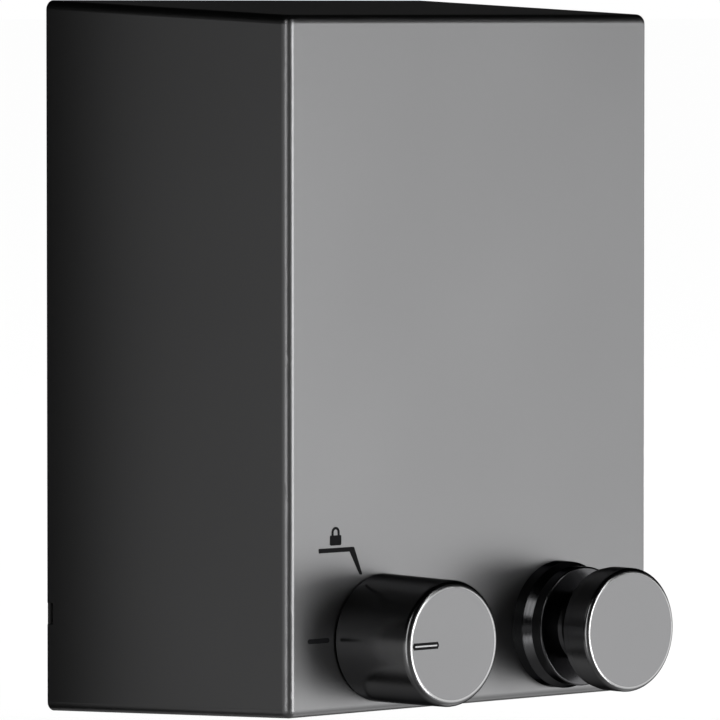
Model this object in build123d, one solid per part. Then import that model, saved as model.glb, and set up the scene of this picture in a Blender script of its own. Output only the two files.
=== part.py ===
from build123d import *
import math
import os

# A retractable clothesline for a bathroom wall. A drafted metal case holds a spring
# drum with 4.2 m of thin line. The line runs down, round a guide roller and out of a
# collar to a pull knob. A second knob lifts a lock bar into the drum's ratchet teeth.
#
# Millimetres. The wall is the plane Y = 0, the room is towards -Y, +Z is up, and the
# origin is the middle of the four wall screws. Depth is the distance from the wall.

# Clearances
RUNNING_GAP = 0.05
SEAT_GAP = 0.02

# Case
CASE_WIDTH = 76.9
CASE_HEIGHT = 105.0
CASE_DEPTH = 51.0
CASE_DRAFT = 2.44
CASE_WALL = 1.8
CASE_CORNER_RADIUS = 1.4
CASE_FRONT_RADIUS = 1.3
RIM_GAP = 0.6
GASKET_INSET = 0.6
GASKET_WIDTH = 1.6
NOTCH_Z = -38.0
NOTCH_HEIGHT = 3.2
NOTCH_DEPTH = 1.2
PANEL_BACK = CASE_DEPTH - CASE_WALL

# Both knobs stand on one level of the front panel, as far left as right
KNOB_X = 17.8
KNOB_Z = -39.65

# Lock knob and its shaft
LOCK_KNOB_BACK = 51.25
LOCK_KNOB_FRONT = 66.0
LOCK_KNOB_BASE_RADIUS = 9.3
LOCK_KNOB_FRONT_RADIUS = 9.1
LOCK_KNOB_SKIRT = 1.65
LOCK_KNOB_HUB_RADIUS = 5.0
LOCK_KNOB_HUB_BACK = 51.6
LOCK_KNOB_HOLLOW = 57.0
LOCK_KNOB_EDGE = 1.0
INDEX_START = 3.05
INDEX_END = 7.85
INDEX_WIDTH = 1.0
INDEX_DEPTH = 0.25
SET_SCREW_DEPTH = 59.5
SET_SCREW_RADIUS = 1.25
SET_SCREW_LENGTH = 4.6
SET_SCREW_SOCKET = 0.65
SET_SCREW_SOCKET_DEPTH = 1.6
SHAFT_RADIUS = 3.0
SHAFT_FLAT = 2.5
SHAFT_FRONT = 62.0
SHAFT_END_GAP = 0.2
SPIGOT_RADIUS = 2.2
SPIGOT_FLAT = 1.7
BUSH_BACK = 43.0
BUSH_FRONT = 50.9
BUSH_RADIUS = 5.0
BUSH_FLANGE_RADIUS = 7.0
BUSH_FLANGE_BACK = 47.2
SEAL_RADIUS = 0.58
SEAL_SEAT_RADIUS = 4.2
SEAL_SEAT_DEPTH = 49.6
CLIP_THICKNESS = 0.6
SHAFT_GROOVE = 0.6
SHAFT_CLIP_REACH = 1.6
SHAFT_CLIP_MOUTH = 4.0
SHAFT_CLIP_GAP = 0.2

# The crank pin is level with the knob's axis half way through the lock's swing
LOCK_SWING = 65.0
CRANK_DISC_RADIUS = 7.0
CRANK_BACK = 29.3
CRANK_FRONT = 32.3
CRANK_RADIUS = 4.5
CRANK_PIN_RADIUS = 2.0
CRANK_PIN_BACK = 24.0
CRANK_START = math.radians(180 + LOCK_SWING / 2)
CRANK_PIN_X = -KNOB_X + CRANK_RADIUS * math.cos(CRANK_START)
CRANK_PIN_Z = KNOB_Z + CRANK_RADIUS * math.sin(CRANK_START)

# Outlet collar and pull knob
COLLAR_RADIUS = 9.4
COLLAR_RIM = 2.0
COLLAR_NOSE_RADIUS = 8.5
COLLAR_SHANK_RADIUS = 6.0
COLLAR_BORE = 2.0
COLLAR_BACK = 42.0
COLLAR_FRONT = 54.2
COLLAR_RIM_DRAFT = 0.05
COLLAR_RIM_EDGE = 0.15
COLLAR_MOUTH = 0.6
COLLAR_FUNNEL = 1.4
COLLAR_FUNNEL_LENGTH = 3.0
NUT_BACK = 46.2
NUT_FLATS = 15.0
PULL_FLANGE_RADIUS = 8.8
PULL_BACK = 54.3
PULL_FLANGE_FRONT = 56.4
PULL_NECK_RADIUS = 5.0
PULL_HEAD_BACK = 61.0
PULL_HEAD_RADIUS = 9.1
PULL_HEAD_EDGE = 0.75
PULL_HEAD_STEP = 0.25
PULL_HEAD_STEP_FRONT = 62.2
PULL_RIM_EDGE = 0.2
PULL_FLANGE_EDGE = 0.3
PULL_NECK_ROOT = 0.4
PULL_LINE_GAP = 0.2
PULL_SPIGOT_GAP = 0.2
PULL_FRONT = 66.2
PULL_SPIGOT_RADIUS = 3.2
PULL_SPIGOT_FRONT = 63.6
FERRULE_RADIUS = 2.1
FERRULE_BACK = 59.25
FERRULE_FRONT = 62.9
FERRULE_GAP = 0.1

# Line and guide roller
LINE_RADIUS = 1.1
LINE_DEPTH = 28.6
LINE_SPLIT = 45.0
ROLLER_PITCH = 6.0
ROLLER_RADIUS = 7.4
ROLLER_GROOVE_GAP = 0.2
ROLLER_WIDTH = 6.0
ROLLER_LIP = 0.6
ROLLER_DEPTH = LINE_DEPTH + ROLLER_PITCH
ROLLER_Z = KNOB_Z + ROLLER_PITCH
GUIDE_PIN_RADIUS = 1.5
GUIDE_PIN_HEAD = 1.2
GUIDE_PIN_HEAD_THICKNESS = 0.8
GUIDE_PIN_TAIL = 1.4
GUIDE_PIN_GROOVE = 0.4
GUIDE_CLIP_MOUTH = 2.0
EAR_GAP = 0.3
EAR_THICKNESS = 2.6
EAR_BOTTOM = -38.5
EAR_TOP = -29.0
EAR_FRONT = 38.0
EAR_WEB_FRONT = 25.5

# Drum. The line leaves it straight above the outlet
LINE_LAYER_RADIUS = 23.5
WINDING_GAP = 0.2
WINDING_STEP_GAP = 0.1
DRUM_X = KNOB_X - LINE_LAYER_RADIUS
DRUM_Z = 18.5
DRUM_RADIUS = 27.0
DRUM_FRONT = 46.8
DRUM_FLANGE_BACK = 44.8
DRUM_CORE_RADIUS = 17.0
DRUM_CORE_WALL = 2.4
DRUM_HUB_RADIUS = 8.0
DRUM_BORE = 5.5
DRUM_POCKET_BACK = 29.2
DRUM_RIBS = 6
DRUM_RIB_WIDTH = 1.6
DRUM_RIB_SINK = 0.5
RATCHET_FRONT = 27.2
RATCHET_BACK = 23.7
RATCHET_TEETH = 24
RATCHET_ROOT_RADIUS = 24.4
BARREL_RADIUS = 25.0
BARREL_BORE = 23.4
COVER_BACK = 13.2
COVER_FRONT = 14.7
COVER_SPIGOT = 1.0
COVER_SPIGOT_WALL = 1.4
COVER_BORE_GAP = 0.3
DRUM_BUSH_LENGTH = 10.0

# Power spring: half turns about two centres that are half a pitch apart
SPRING_THICKNESS = 0.5
SPRING_BACK = 15.9
SPRING_FRONT = 23.3
SPRING_FIRST_RADIUS = 5.0
SPRING_STEP = 1.37
SPRING_HALF_TURNS = 13
SPRING_SLIT_GAP = 0.1
SPRING_SLIT_BOTTOM = 1.0
SPRING_SLOT_WIDTH = 0.8
SPRING_SLOT_REACH = 2.0

# Drum axle
AXLE_RADIUS = 4.0
AXLE_FRONT = 48.9
AXLE_COLLAR_RADIUS = 6.5
AXLE_COLLAR_FRONT = 12.4
AXLE_SHANK_RADIUS = 5.0
AXLE_SHANK_BACK = 4.3
AXLE_FLAT = 4.0
AXLE_CLIP_BACK = 47.3
AXLE_CLIP_REACH = 2.0
AXLE_CLIP_MOUTH = 4.8
AXLE_GROOVE = 0.8
AXLE_TIP_EDGE = 0.4
REAR_WASHER = 0.5
FRONT_WASHER = 0.4
AXLE_SCREW_RADIUS = 2.0
AXLE_SCREW_HEAD_RADIUS = 3.6
AXLE_SCREW_HEAD = 2.1
AXLE_SCREW_EDGE = 0.5
AXLE_SEAT_BACK = 48.2

# Chassis
CHASSIS_BACK = 8.0
CHASSIS_FRONT = 11.0
CHASSIS_WIDTH = 70.2
CHASSIS_HEIGHT = 99.6
CHASSIS_BOSS_RADIUS = 8.5
CHASSIS_BOSS_BACK = 4.2
CHASSIS_RIB_BACK = 5.5
CHASSIS_RIB_WIDTH = 1.6
BOSS_X = 32.0
BOSS_Z = 46.8
BOSS_RADIUS = 3.8
SCREW_RADIUS = 1.5
SCREW_HEAD_RADIUS = 2.8
SCREW_HEAD = 2.1
SCREW_LENGTH = 14.0
SCREW_HEAD_EDGE = 0.8

# Lock bar and its rails
BAR_BACK = 23.95
BAR_FRONT = 26.95
BAR_LEFT = -9.0
BAR_RIGHT = -2.4
BAR_FOOT_LEFT = -26.0
BAR_FOOT_BOTTOM = -46.3
BAR_FOOT_TOP = -37.9
BAR_FOOT_CORNER = 1.5
BAR_SHOULDER = -14.0
BAR_NOSE_X = DRUM_X - 0.25
BAR_NOSE_TOP = -11.24
BAR_NOSE_HEEL = -12.3
BAR_SLOT_GAP = 0.1
RAIL_WIDTH = 3.0
RAIL_LIP = 1.2
RAIL_GAP = 0.15
RAIL_BOTTOM = -32.0
RAIL_TOP = -17.0
RAIL_FRONT = 28.9

# Wall plate
PLATE_THICKNESS = 1.5
PLATE_WIDTH = 64.0
PLATE_TOP = 42.5
PLATE_BOTTOM = -44.5
PLATE_CORNER = 3.0
WALL_HOLE_RADIUS = 2.25
WALL_HOLE_X = 20.0
WALL_HOLE_Z = 30.0
HOOK_X = 20.5
HOOK_WIDTH = 9.0
HOOK_REACH = 12.6
HOOK_TOP = 48.0
HOOK_SLOT_HEIGHT = 7.3
HOOK_BENDS = [0.6, 0.6, 0.6, 0.6, 0.1, 0.6]
TAB_WIDTH = 14.0
TAB_REACH = 7.5
BASE_SCREW_DEPTH = 4.5
BASE_HEAD_RADIUS = 2.9
BASE_HEAD_FACE = -CASE_HEIGHT / 2 + 0.35
BASE_SCREW_TIP = -42.0


def prism(sketch, start, end):
    """Extrude a sketch drawn in X and Z from one depth to another."""
    return extrude(Plane.XZ.offset(start) * sketch, end - start)


def rod(radius, start, end, x=0.0, z=0.0):
    """Round bar along the depth."""
    return prism(Pos(x, z) * Circle(radius), start, end)


def ring(outer, inner, start, end, x=0.0, z=0.0):
    """Round sleeve or washer along the depth."""
    return prism(Pos(x, z) * (Circle(outer) - Circle(inner)), start, end)


def block(x_low, x_high, z_low, z_high, start, end):
    """Rectangular block between two depths."""
    centre = Pos((x_low + x_high) / 2, (z_low + z_high) / 2)
    return prism(centre * Rectangle(x_high - x_low, z_high - z_low), start, end)


def turned(profile, x=0.0, z=0.0):
    """Revolve (radius, depth) points about an axis along the depth."""
    outline = Polyline(*[(radius, -depth) for radius, depth in profile], close=True)
    return Pos(x, 0, z) * revolve(make_face(outline), Axis.Y)


def upright_rod(radius, z_low, z_high, x, depth):
    """Round bar along Z."""
    return Pos(x, -depth, z_low) * extrude(Circle(radius), z_high - z_low)


def cross_rod(radius, x_low, x_high):
    """Round bar along X, through the guide roller's centre."""
    centre = Pos(-ROLLER_DEPTH, ROLLER_Z)
    return extrude(Plane.YZ.offset(x_low) * centre * Circle(radius), x_high - x_low)


def flat_round(radius, flat):
    """Round section with one flat towards +X."""
    return Circle(radius) - Pos(flat + radius, 0) * Rectangle(2 * radius, 4 * radius)


def snap_ring(outer, inner, mouth):
    """Section of an open retaining clip."""
    return Circle(outer) - Circle(inner) - Pos(0, -outer) * Rectangle(mouth, 2 * outer)


def corners(x, z):
    """Four places mirrored about the origin."""
    return [(side * x, level * z) for side in (-1, 1) for level in (-1, 1)]


def rounded_front(solid, radius):
    """Round the edge of the face that is nearest the room."""
    return fillet(solid.faces().sort_by(Axis.Y)[0].edges(), radius)


def rounded_rim(solid, depth, radius):
    """Round the widest circular edge at a depth."""
    rims = solid.edges().filter_by(GeomType.CIRCLE)
    rims = [rim for rim in rims if abs(rim.arc_center.Y + depth) < SEAT_GAP]
    return fillet(max(rims, key=lambda rim: rim.radius), radius)


def drafted_box(inset, start, end):
    """Box that narrows towards the room, a steady inset inside the case's outer skin."""
    lost = 2 * (inset + start * math.tan(math.radians(CASE_DRAFT)))
    outline = Plane.XZ.offset(start) * Rectangle(CASE_WIDTH - lost, CASE_HEIGHT - lost)
    box = extrude(outline, end - start, taper=CASE_DRAFT)
    long_edges = [edge for edge in box.edges() if edge.bounding_box().size.Y > 1]
    return fillet(long_edges, CASE_CORNER_RADIUS)


def case_shell():
    """Cast case: drafted walls, screw bosses, knob holes and a seat for the axle's tip."""
    outer = rounded_front(drafted_box(0, RIM_GAP, CASE_DEPTH), CASE_FRONT_RADIUS)
    shell = outer - drafted_box(CASE_WALL, RIM_GAP, PANEL_BACK)
    for x, z in corners(BOSS_X, BOSS_Z):
        shell += rod(BOSS_RADIUS, CHASSIS_FRONT, PANEL_BACK + CASE_WALL / 2, x, z) & outer
        shell -= rod(SCREW_RADIUS + RUNNING_GAP, CHASSIS_FRONT, CHASSIS_FRONT + SCREW_LENGTH, x, z)
    shell += ring(AXLE_COLLAR_RADIUS, AXLE_RADIUS + RUNNING_GAP, AXLE_SEAT_BACK, PANEL_BACK, DRUM_X, DRUM_Z)
    shell -= rod(BUSH_RADIUS + SEAT_GAP, PANEL_BACK, CASE_DEPTH, -KNOB_X, KNOB_Z)
    shell -= rod(COLLAR_SHANK_RADIUS + SEAT_GAP, PANEL_BACK, CASE_DEPTH, KNOB_X, KNOB_Z)
    for side in (-1, 1):
        wall = side * (CASE_WIDTH - CASE_WALL) / 2
        shell -= block(wall - CASE_WALL, wall + CASE_WALL, NOTCH_Z - NOTCH_HEIGHT / 2,
                       NOTCH_Z + NOTCH_HEIGHT / 2, 0, RIM_GAP + NOTCH_DEPTH)
    return shell - base_screw_hole()


def rim_gasket():
    """Flat rubber strip that closes the gap between the case's rim and the wall."""
    width = CASE_WIDTH - 2 * GASKET_INSET
    height = CASE_HEIGHT - 2 * GASKET_INSET
    outline = RectangleRounded(width, height, CASE_CORNER_RADIUS)
    opening = Rectangle(width - 2 * GASKET_WIDTH, height - 2 * GASKET_WIDTH)
    return prism(outline - opening, 0, RIM_GAP - SEAT_GAP)


def base_screw_hole():
    """Clearance hole under the case with a countersink for the screw's head."""
    head_top = BASE_HEAD_FACE + BASE_HEAD_RADIUS - SCREW_RADIUS
    below = -CASE_HEIGHT / 2
    outline = Polyline((0, below), (BASE_HEAD_RADIUS + SEAT_GAP, below),
                       (BASE_HEAD_RADIUS + SEAT_GAP, BASE_HEAD_FACE),
                       (SCREW_RADIUS + SEAT_GAP, head_top), (SCREW_RADIUS + SEAT_GAP, BASE_SCREW_TIP),
                       (0, BASE_SCREW_TIP), close=True)
    return Pos(0, -BASE_SCREW_DEPTH, 0) * revolve(make_face(Plane.XZ * outline), Axis.Z)


def base_screw():
    """Countersunk screw that locks the case to the wall plate from below."""
    head_top = BASE_HEAD_FACE + BASE_HEAD_RADIUS - SCREW_RADIUS
    outline = Polyline((0, BASE_HEAD_FACE), (BASE_HEAD_RADIUS, BASE_HEAD_FACE), (SCREW_RADIUS, head_top),
                       (SCREW_RADIUS, BASE_SCREW_TIP), (0, BASE_SCREW_TIP), close=True)
    return Pos(0, -BASE_SCREW_DEPTH, 0) * revolve(make_face(Plane.XZ * outline), Axis.Z)


def wall_plate():
    """Bent steel plate: screw holes, two hooks from its top edge and a tab from its bottom edge."""
    plate = block(-PLATE_WIDTH / 2, PLATE_WIDTH / 2, PLATE_BOTTOM, PLATE_TOP, 0, PLATE_THICKNESS)
    plate = fillet(plate.edges().filter_by(Axis.Y), PLATE_CORNER)
    tab_bottom = PLATE_TOP - PLATE_THICKNESS
    lip_back = PLATE_THICKNESS - HOOK_REACH
    bend = FilletPolyline((0, tab_bottom), (-HOOK_REACH, tab_bottom), (-HOOK_REACH, HOOK_TOP),
                          (lip_back, HOOK_TOP), (lip_back, PLATE_TOP), (0, PLATE_TOP),
                          radius=HOOK_BENDS, close=True)
    for side in (-1, 1):
        start = Plane.YZ.offset(side * HOOK_X - HOOK_WIDTH / 2)
        plate += extrude(start * make_face(bend), HOOK_WIDTH)
        for level in (-1, 1):
            plate -= rod(WALL_HOLE_RADIUS, 0, PLATE_THICKNESS, side * WALL_HOLE_X, level * WALL_HOLE_Z)
    plate += block(-TAB_WIDTH / 2, TAB_WIDTH / 2, PLATE_BOTTOM, PLATE_BOTTOM + PLATE_THICKNESS, 0, TAB_REACH)
    return plate - upright_rod(SCREW_RADIUS + SEAT_GAP, PLATE_BOTTOM, BASE_SCREW_TIP, 0, BASE_SCREW_DEPTH)


def chassis():
    """Moulded back frame: axle boss and ribs behind, lock bar rails and roller ears in front."""
    frame = prism(RectangleRounded(CHASSIS_WIDTH, CHASSIS_HEIGHT, PLATE_CORNER), CHASSIS_BACK, CHASSIS_FRONT)
    half_rib = CHASSIS_RIB_WIDTH / 2
    frame += block(-BOSS_X, BOSS_X, DRUM_Z - half_rib, DRUM_Z + half_rib, CHASSIS_RIB_BACK, CHASSIS_BACK)
    frame += block(DRUM_X - half_rib, DRUM_X + half_rib, KNOB_Z, PLATE_TOP, CHASSIS_RIB_BACK, CHASSIS_BACK)
    frame += rod(CHASSIS_BOSS_RADIUS, CHASSIS_BOSS_BACK, CHASSIS_BACK, DRUM_X, DRUM_Z)
    frame += bar_rail(BAR_LEFT - RAIL_GAP, -1)
    frame += bar_rail(BAR_RIGHT + RAIL_GAP, 1)
    frame += roller_ears()
    axle_hole = Pos(DRUM_X, DRUM_Z) * flat_round(AXLE_SHANK_RADIUS + SEAT_GAP, AXLE_FLAT + SEAT_GAP)
    frame -= prism(axle_hole, CHASSIS_BOSS_BACK, CHASSIS_FRONT)
    for side in (-1, 1):
        middle = side * HOOK_X
        reach = HOOK_WIDTH / 2 + RAIL_GAP
        frame -= block(middle - reach, middle + reach, PLATE_TOP - HOOK_SLOT_HEIGHT, PLATE_TOP,
                       CHASSIS_RIB_BACK, CHASSIS_FRONT)
    for x, z in corners(BOSS_X, BOSS_Z):
        frame -= rod(SCREW_RADIUS + RUNNING_GAP, CHASSIS_BACK, CHASSIS_FRONT, x, z)
    return frame


def bar_rail(inner, side):
    """Upright post whose channel holds one edge of the lock bar."""
    outside = inner + side * RAIL_WIDTH
    lip = inner - side * (RAIL_LIP + RAIL_GAP)
    post = block(min(outside, lip), max(outside, lip), RAIL_BOTTOM, RAIL_TOP, CHASSIS_FRONT, RAIL_FRONT)
    channel = block(min(inner, lip), max(inner, lip), RAIL_BOTTOM, RAIL_TOP,
                    BAR_BACK - RAIL_GAP, BAR_FRONT + RAIL_GAP)
    return post - channel


def roller_ears():
    """Two rounded cheeks and a web that carry the guide pin."""
    reach = ROLLER_WIDTH / 2 + EAR_GAP
    ears = block(KNOB_X - reach, KNOB_X + reach, EAR_BOTTOM, EAR_TOP, CHASSIS_FRONT, EAR_WEB_FRONT)
    for side in (-1, 1):
        near = KNOB_X + side * reach
        far = near + side * EAR_THICKNESS
        ear = block(min(near, far), max(near, far), EAR_BOTTOM, EAR_TOP, CHASSIS_FRONT, EAR_FRONT)
        front_edges = ear.faces().sort_by(Axis.Y)[0].edges().filter_by(Axis.X)
        ears += fillet(front_edges, EAR_FRONT - ROLLER_DEPTH)
    return ears - cross_rod(GUIDE_PIN_RADIUS + SEAT_GAP, 0, 2 * KNOB_X)


def chassis_screws():
    """Four pan-head screws from behind the chassis into the case's bosses."""
    head_back = CHASSIS_BACK - SCREW_HEAD
    tip = CHASSIS_BACK + SCREW_LENGTH
    profile = [(0, head_back), (SCREW_HEAD_RADIUS - SCREW_HEAD_EDGE, head_back),
               (SCREW_HEAD_RADIUS, head_back + SCREW_HEAD_EDGE), (SCREW_HEAD_RADIUS, CHASSIS_BACK),
               (SCREW_RADIUS, CHASSIS_BACK), (SCREW_RADIUS, tip), (0, tip)]
    return Compound([turned(profile, x, z).solid() for x, z in corners(BOSS_X, BOSS_Z)])


def drum_axle():
    """Turned axle: flatted shank, collar, slit for the spring and a groove for the clip."""
    groove = AXLE_RADIUS - AXLE_GROOVE
    clip_front = AXLE_CLIP_BACK + CLIP_THICKNESS
    axle = turned([(0, AXLE_SHANK_BACK), (AXLE_SHANK_RADIUS, AXLE_SHANK_BACK),
                   (AXLE_SHANK_RADIUS, CHASSIS_FRONT), (AXLE_COLLAR_RADIUS, CHASSIS_FRONT),
                   (AXLE_COLLAR_RADIUS, AXLE_COLLAR_FRONT), (AXLE_RADIUS, AXLE_COLLAR_FRONT),
                   (AXLE_RADIUS, AXLE_CLIP_BACK), (groove, AXLE_CLIP_BACK), (groove, clip_front),
                   (AXLE_RADIUS, clip_front), (AXLE_RADIUS, AXLE_FRONT - AXLE_TIP_EDGE),
                   (AXLE_RADIUS - AXLE_TIP_EDGE, AXLE_FRONT), (0, AXLE_FRONT)])
    axle -= block(AXLE_FLAT, AXLE_SHANK_RADIUS, -AXLE_SHANK_RADIUS, AXLE_SHANK_RADIUS,
                  AXLE_SHANK_BACK, CHASSIS_FRONT)
    axle -= block(SPRING_SLIT_BOTTOM, AXLE_RADIUS, -SPRING_THICKNESS - SPRING_SLIT_GAP, SPRING_SLIT_GAP,
                  COVER_FRONT, RATCHET_BACK)
    axle -= rod(AXLE_SCREW_RADIUS + SEAT_GAP, AXLE_SHANK_BACK, COVER_BACK)
    return Pos(DRUM_X, 0, DRUM_Z) * axle


def axle_screw():
    """Screw that clamps the axle's shank to the chassis from behind."""
    head_back = CHASSIS_BOSS_BACK - AXLE_SCREW_HEAD
    return turned([(0, head_back), (AXLE_SCREW_HEAD_RADIUS - AXLE_SCREW_EDGE, head_back),
                   (AXLE_SCREW_HEAD_RADIUS, head_back + AXLE_SCREW_EDGE),
                   (AXLE_SCREW_HEAD_RADIUS, CHASSIS_BOSS_BACK), (AXLE_SCREW_RADIUS, CHASSIS_BOSS_BACK),
                   (AXLE_SCREW_RADIUS, AXLE_COLLAR_FRONT), (0, AXLE_COLLAR_FRONT)], DRUM_X, DRUM_Z)


def axle_washers():
    """Thrust washers at the collar and at the clip."""
    bore = AXLE_RADIUS + RUNNING_GAP
    rear = ring(AXLE_COLLAR_RADIUS, bore, AXLE_COLLAR_FRONT, AXLE_COLLAR_FRONT + REAR_WASHER, DRUM_X, DRUM_Z)
    front = ring(AXLE_COLLAR_RADIUS, bore, AXLE_CLIP_BACK - FRONT_WASHER, AXLE_CLIP_BACK, DRUM_X, DRUM_Z)
    return Compound([rear.solid(), front.solid()])


def axle_clip():
    """Open clip in the axle's front groove."""
    section = snap_ring(AXLE_RADIUS + AXLE_CLIP_REACH, AXLE_RADIUS - AXLE_GROOVE + SEAT_GAP, AXLE_CLIP_MOUTH)
    return prism(Pos(DRUM_X, DRUM_Z) * section, AXLE_CLIP_BACK, AXLE_CLIP_BACK + CLIP_THICKNESS)


def ratchet_ring():
    """Saw teeth round the drum. Each steep face looks against the turn that pays line out."""
    pitch = 2 * math.pi / RATCHET_TEETH
    points = []
    for tooth in range(RATCHET_TEETH):
        tip = -math.pi / 2 + tooth * pitch
        for radius, angle in ((DRUM_RADIUS, tip), (RATCHET_ROOT_RADIUS, tip + pitch)):
            points.append((radius * math.cos(angle), radius * math.sin(angle)))
    teeth = make_face(Polyline(*points, close=True))
    return prism(teeth - Circle(DRUM_CORE_RADIUS), RATCHET_BACK, RATCHET_FRONT)


def drum_spool():
    """Moulded spool: ribbed core, front flange, ratchet ring and the spring's barrel behind."""
    core_bore = DRUM_CORE_RADIUS - DRUM_CORE_WALL
    spool = turned([(DRUM_BORE, RATCHET_BACK), (BARREL_BORE, RATCHET_BACK), (BARREL_BORE, COVER_FRONT),
                    (BARREL_RADIUS, COVER_FRONT), (BARREL_RADIUS, RATCHET_BACK),
                    (RATCHET_ROOT_RADIUS, RATCHET_BACK), (RATCHET_ROOT_RADIUS, RATCHET_FRONT),
                    (DRUM_CORE_RADIUS, RATCHET_FRONT), (DRUM_CORE_RADIUS, DRUM_FLANGE_BACK),
                    (DRUM_RADIUS, DRUM_FLANGE_BACK), (DRUM_RADIUS, DRUM_FRONT), (core_bore, DRUM_FRONT),
                    (core_bore, DRUM_POCKET_BACK), (DRUM_HUB_RADIUS, DRUM_POCKET_BACK),
                    (DRUM_HUB_RADIUS, DRUM_FRONT), (DRUM_BORE, DRUM_FRONT)])
    spool += ratchet_ring()
    middle = (DRUM_HUB_RADIUS + core_bore) / 2
    rib_length = core_bore - DRUM_HUB_RADIUS + 2 * DRUM_RIB_SINK
    for angle in range(0, 360, 360 // DRUM_RIBS):
        rib = Rot(0, 0, angle) * Pos(middle, 0) * Rectangle(rib_length, DRUM_RIB_WIDTH)
        spool += prism(rib, DRUM_POCKET_BACK, DRUM_FLANGE_BACK)
    slot = Rectangle(SPRING_SLOT_WIDTH, 2 * SPRING_SLOT_REACH)
    spool -= prism(Pos(SPRING_STEP + SPRING_THICKNESS / 2, -BARREL_RADIUS) * slot, COVER_FRONT, SPRING_FRONT)
    return Pos(DRUM_X, 0, DRUM_Z) * spool


def drum_bush(front):
    """Plain bearing sleeve in the drum's hub."""
    back = front - DRUM_BUSH_LENGTH
    return ring(DRUM_BORE - SEAT_GAP, AXLE_RADIUS + RUNNING_GAP, back, front, DRUM_X, DRUM_Z)


def spring_cover():
    """Lid of the spring barrel with a locating rim."""
    rim = BARREL_BORE - SEAT_GAP
    rim_bore = rim - COVER_SPIGOT_WALL
    bore = AXLE_RADIUS + COVER_BORE_GAP
    return turned([(bore, COVER_BACK), (BARREL_RADIUS, COVER_BACK), (BARREL_RADIUS, COVER_FRONT),
                   (rim, COVER_FRONT), (rim, COVER_FRONT + COVER_SPIGOT),
                   (rim_bore, COVER_FRONT + COVER_SPIGOT), (rim_bore, COVER_FRONT),
                   (bore, COVER_FRONT)], DRUM_X, DRUM_Z)


def spiral_side(offset):
    """Arcs of one side of the spring's strip, from the axle outwards."""
    arcs = []
    for turn in range(SPRING_HALF_TURNS + 1):
        start = 180 * (turn % 2)
        swing = 180 if turn < SPRING_HALF_TURNS else 90
        radius = SPRING_FIRST_RADIUS + turn * SPRING_STEP + offset
        arcs.append(CenterArc((SPRING_STEP * (turn % 2), 0), radius, start, swing))
    return arcs


def power_spring():
    """Spiral strip with one end folded into the axle's slit and the other into the barrel's slot."""
    half = SPRING_THICKNESS / 2
    inner = spiral_side(-half)
    outer = spiral_side(half)
    first_end = Line(inner[0] @ 0, outer[0] @ 0)
    last_end = Line(inner[-1] @ 1, outer[-1] @ 1)
    strip = make_face(Wire(inner + outer + [first_end, last_end]))
    fold_start = SPRING_SLIT_BOTTOM + SPRING_SLIT_GAP
    fold_in = Pos((SPRING_FIRST_RADIUS + half + fold_start) / 2, -half)
    strip += fold_in * Rectangle(SPRING_FIRST_RADIUS + half - fold_start, SPRING_THICKNESS)
    last_radius = SPRING_FIRST_RADIUS + SPRING_HALF_TURNS * SPRING_STEP
    fold_out = Pos(SPRING_STEP + half, -(last_radius - half + BARREL_RADIUS) / 2)
    strip += fold_out * Rectangle(SPRING_THICKNESS, BARREL_RADIUS - last_radius + half)
    return prism(Pos(DRUM_X, DRUM_Z) * strip, SPRING_BACK, SPRING_FRONT)


def line_winding():
    """Wound line on the drum, with a lower step where the last turn lies."""
    inside = DRUM_CORE_RADIUS + RUNNING_GAP
    step = LINE_LAYER_RADIUS - LINE_RADIUS - WINDING_STEP_GAP
    outside = LINE_LAYER_RADIUS + LINE_RADIUS
    shoulder = LINE_DEPTH + LINE_RADIUS + WINDING_GAP
    back = RATCHET_FRONT + WINDING_GAP
    front = DRUM_FLANGE_BACK - WINDING_GAP
    return turned([(inside, back), (step, back), (step, shoulder), (outside, shoulder), (outside, front),
                   (inside, front)], DRUM_X, DRUM_Z)


def line_lead():
    """Line from its last half turn on the drum, straight down and round the roller to the collar."""
    over_drum = CenterArc((DRUM_X, DRUM_Z), LINE_LAYER_RADIUS, 180, -180)
    last_turn = Plane.XZ.offset(LINE_DEPTH) * over_drum
    above = Vector(KNOB_X, -LINE_DEPTH, ROLLER_Z)
    below = Vector(KNOB_X, -ROLLER_DEPTH, KNOB_Z)
    slant = ROLLER_PITCH * math.sqrt(0.5)
    between = Vector(KNOB_X, slant - ROLLER_DEPTH, ROLLER_Z - slant)
    path = Wire([last_turn, Line(last_turn @ 1, above), ThreePointArc(above, between, below),
                 Line(below, Vector(KNOB_X, -LINE_SPLIT, KNOB_Z))])
    section = Plane(path @ 0, z_dir=path % 0) * Circle(LINE_RADIUS)
    return sweep(section, path=path)


def line_end():
    """Line from the collar into the pull knob's ferrule."""
    return rod(LINE_RADIUS, LINE_SPLIT, FERRULE_FRONT, KNOB_X, KNOB_Z)


def guide_roller():
    """Roller with a round groove for the line."""
    half = ROLLER_WIDTH / 2
    groove = LINE_RADIUS + ROLLER_GROOVE_GAP
    bore = GUIDE_PIN_RADIUS + RUNNING_GAP
    section = Pos(0, (bore + ROLLER_RADIUS) / 2) * Rectangle(ROLLER_WIDTH, ROLLER_RADIUS - bore)
    section -= Pos(0, ROLLER_PITCH) * Circle(groove)
    mouth = Polyline((-groove, ROLLER_PITCH), (groove, ROLLER_PITCH), (half - ROLLER_LIP, ROLLER_RADIUS),
                     (ROLLER_LIP - half, ROLLER_RADIUS), close=True)
    section -= make_face(mouth)
    return Pos(KNOB_X, -ROLLER_DEPTH, ROLLER_Z) * revolve(section, Axis.X)


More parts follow.
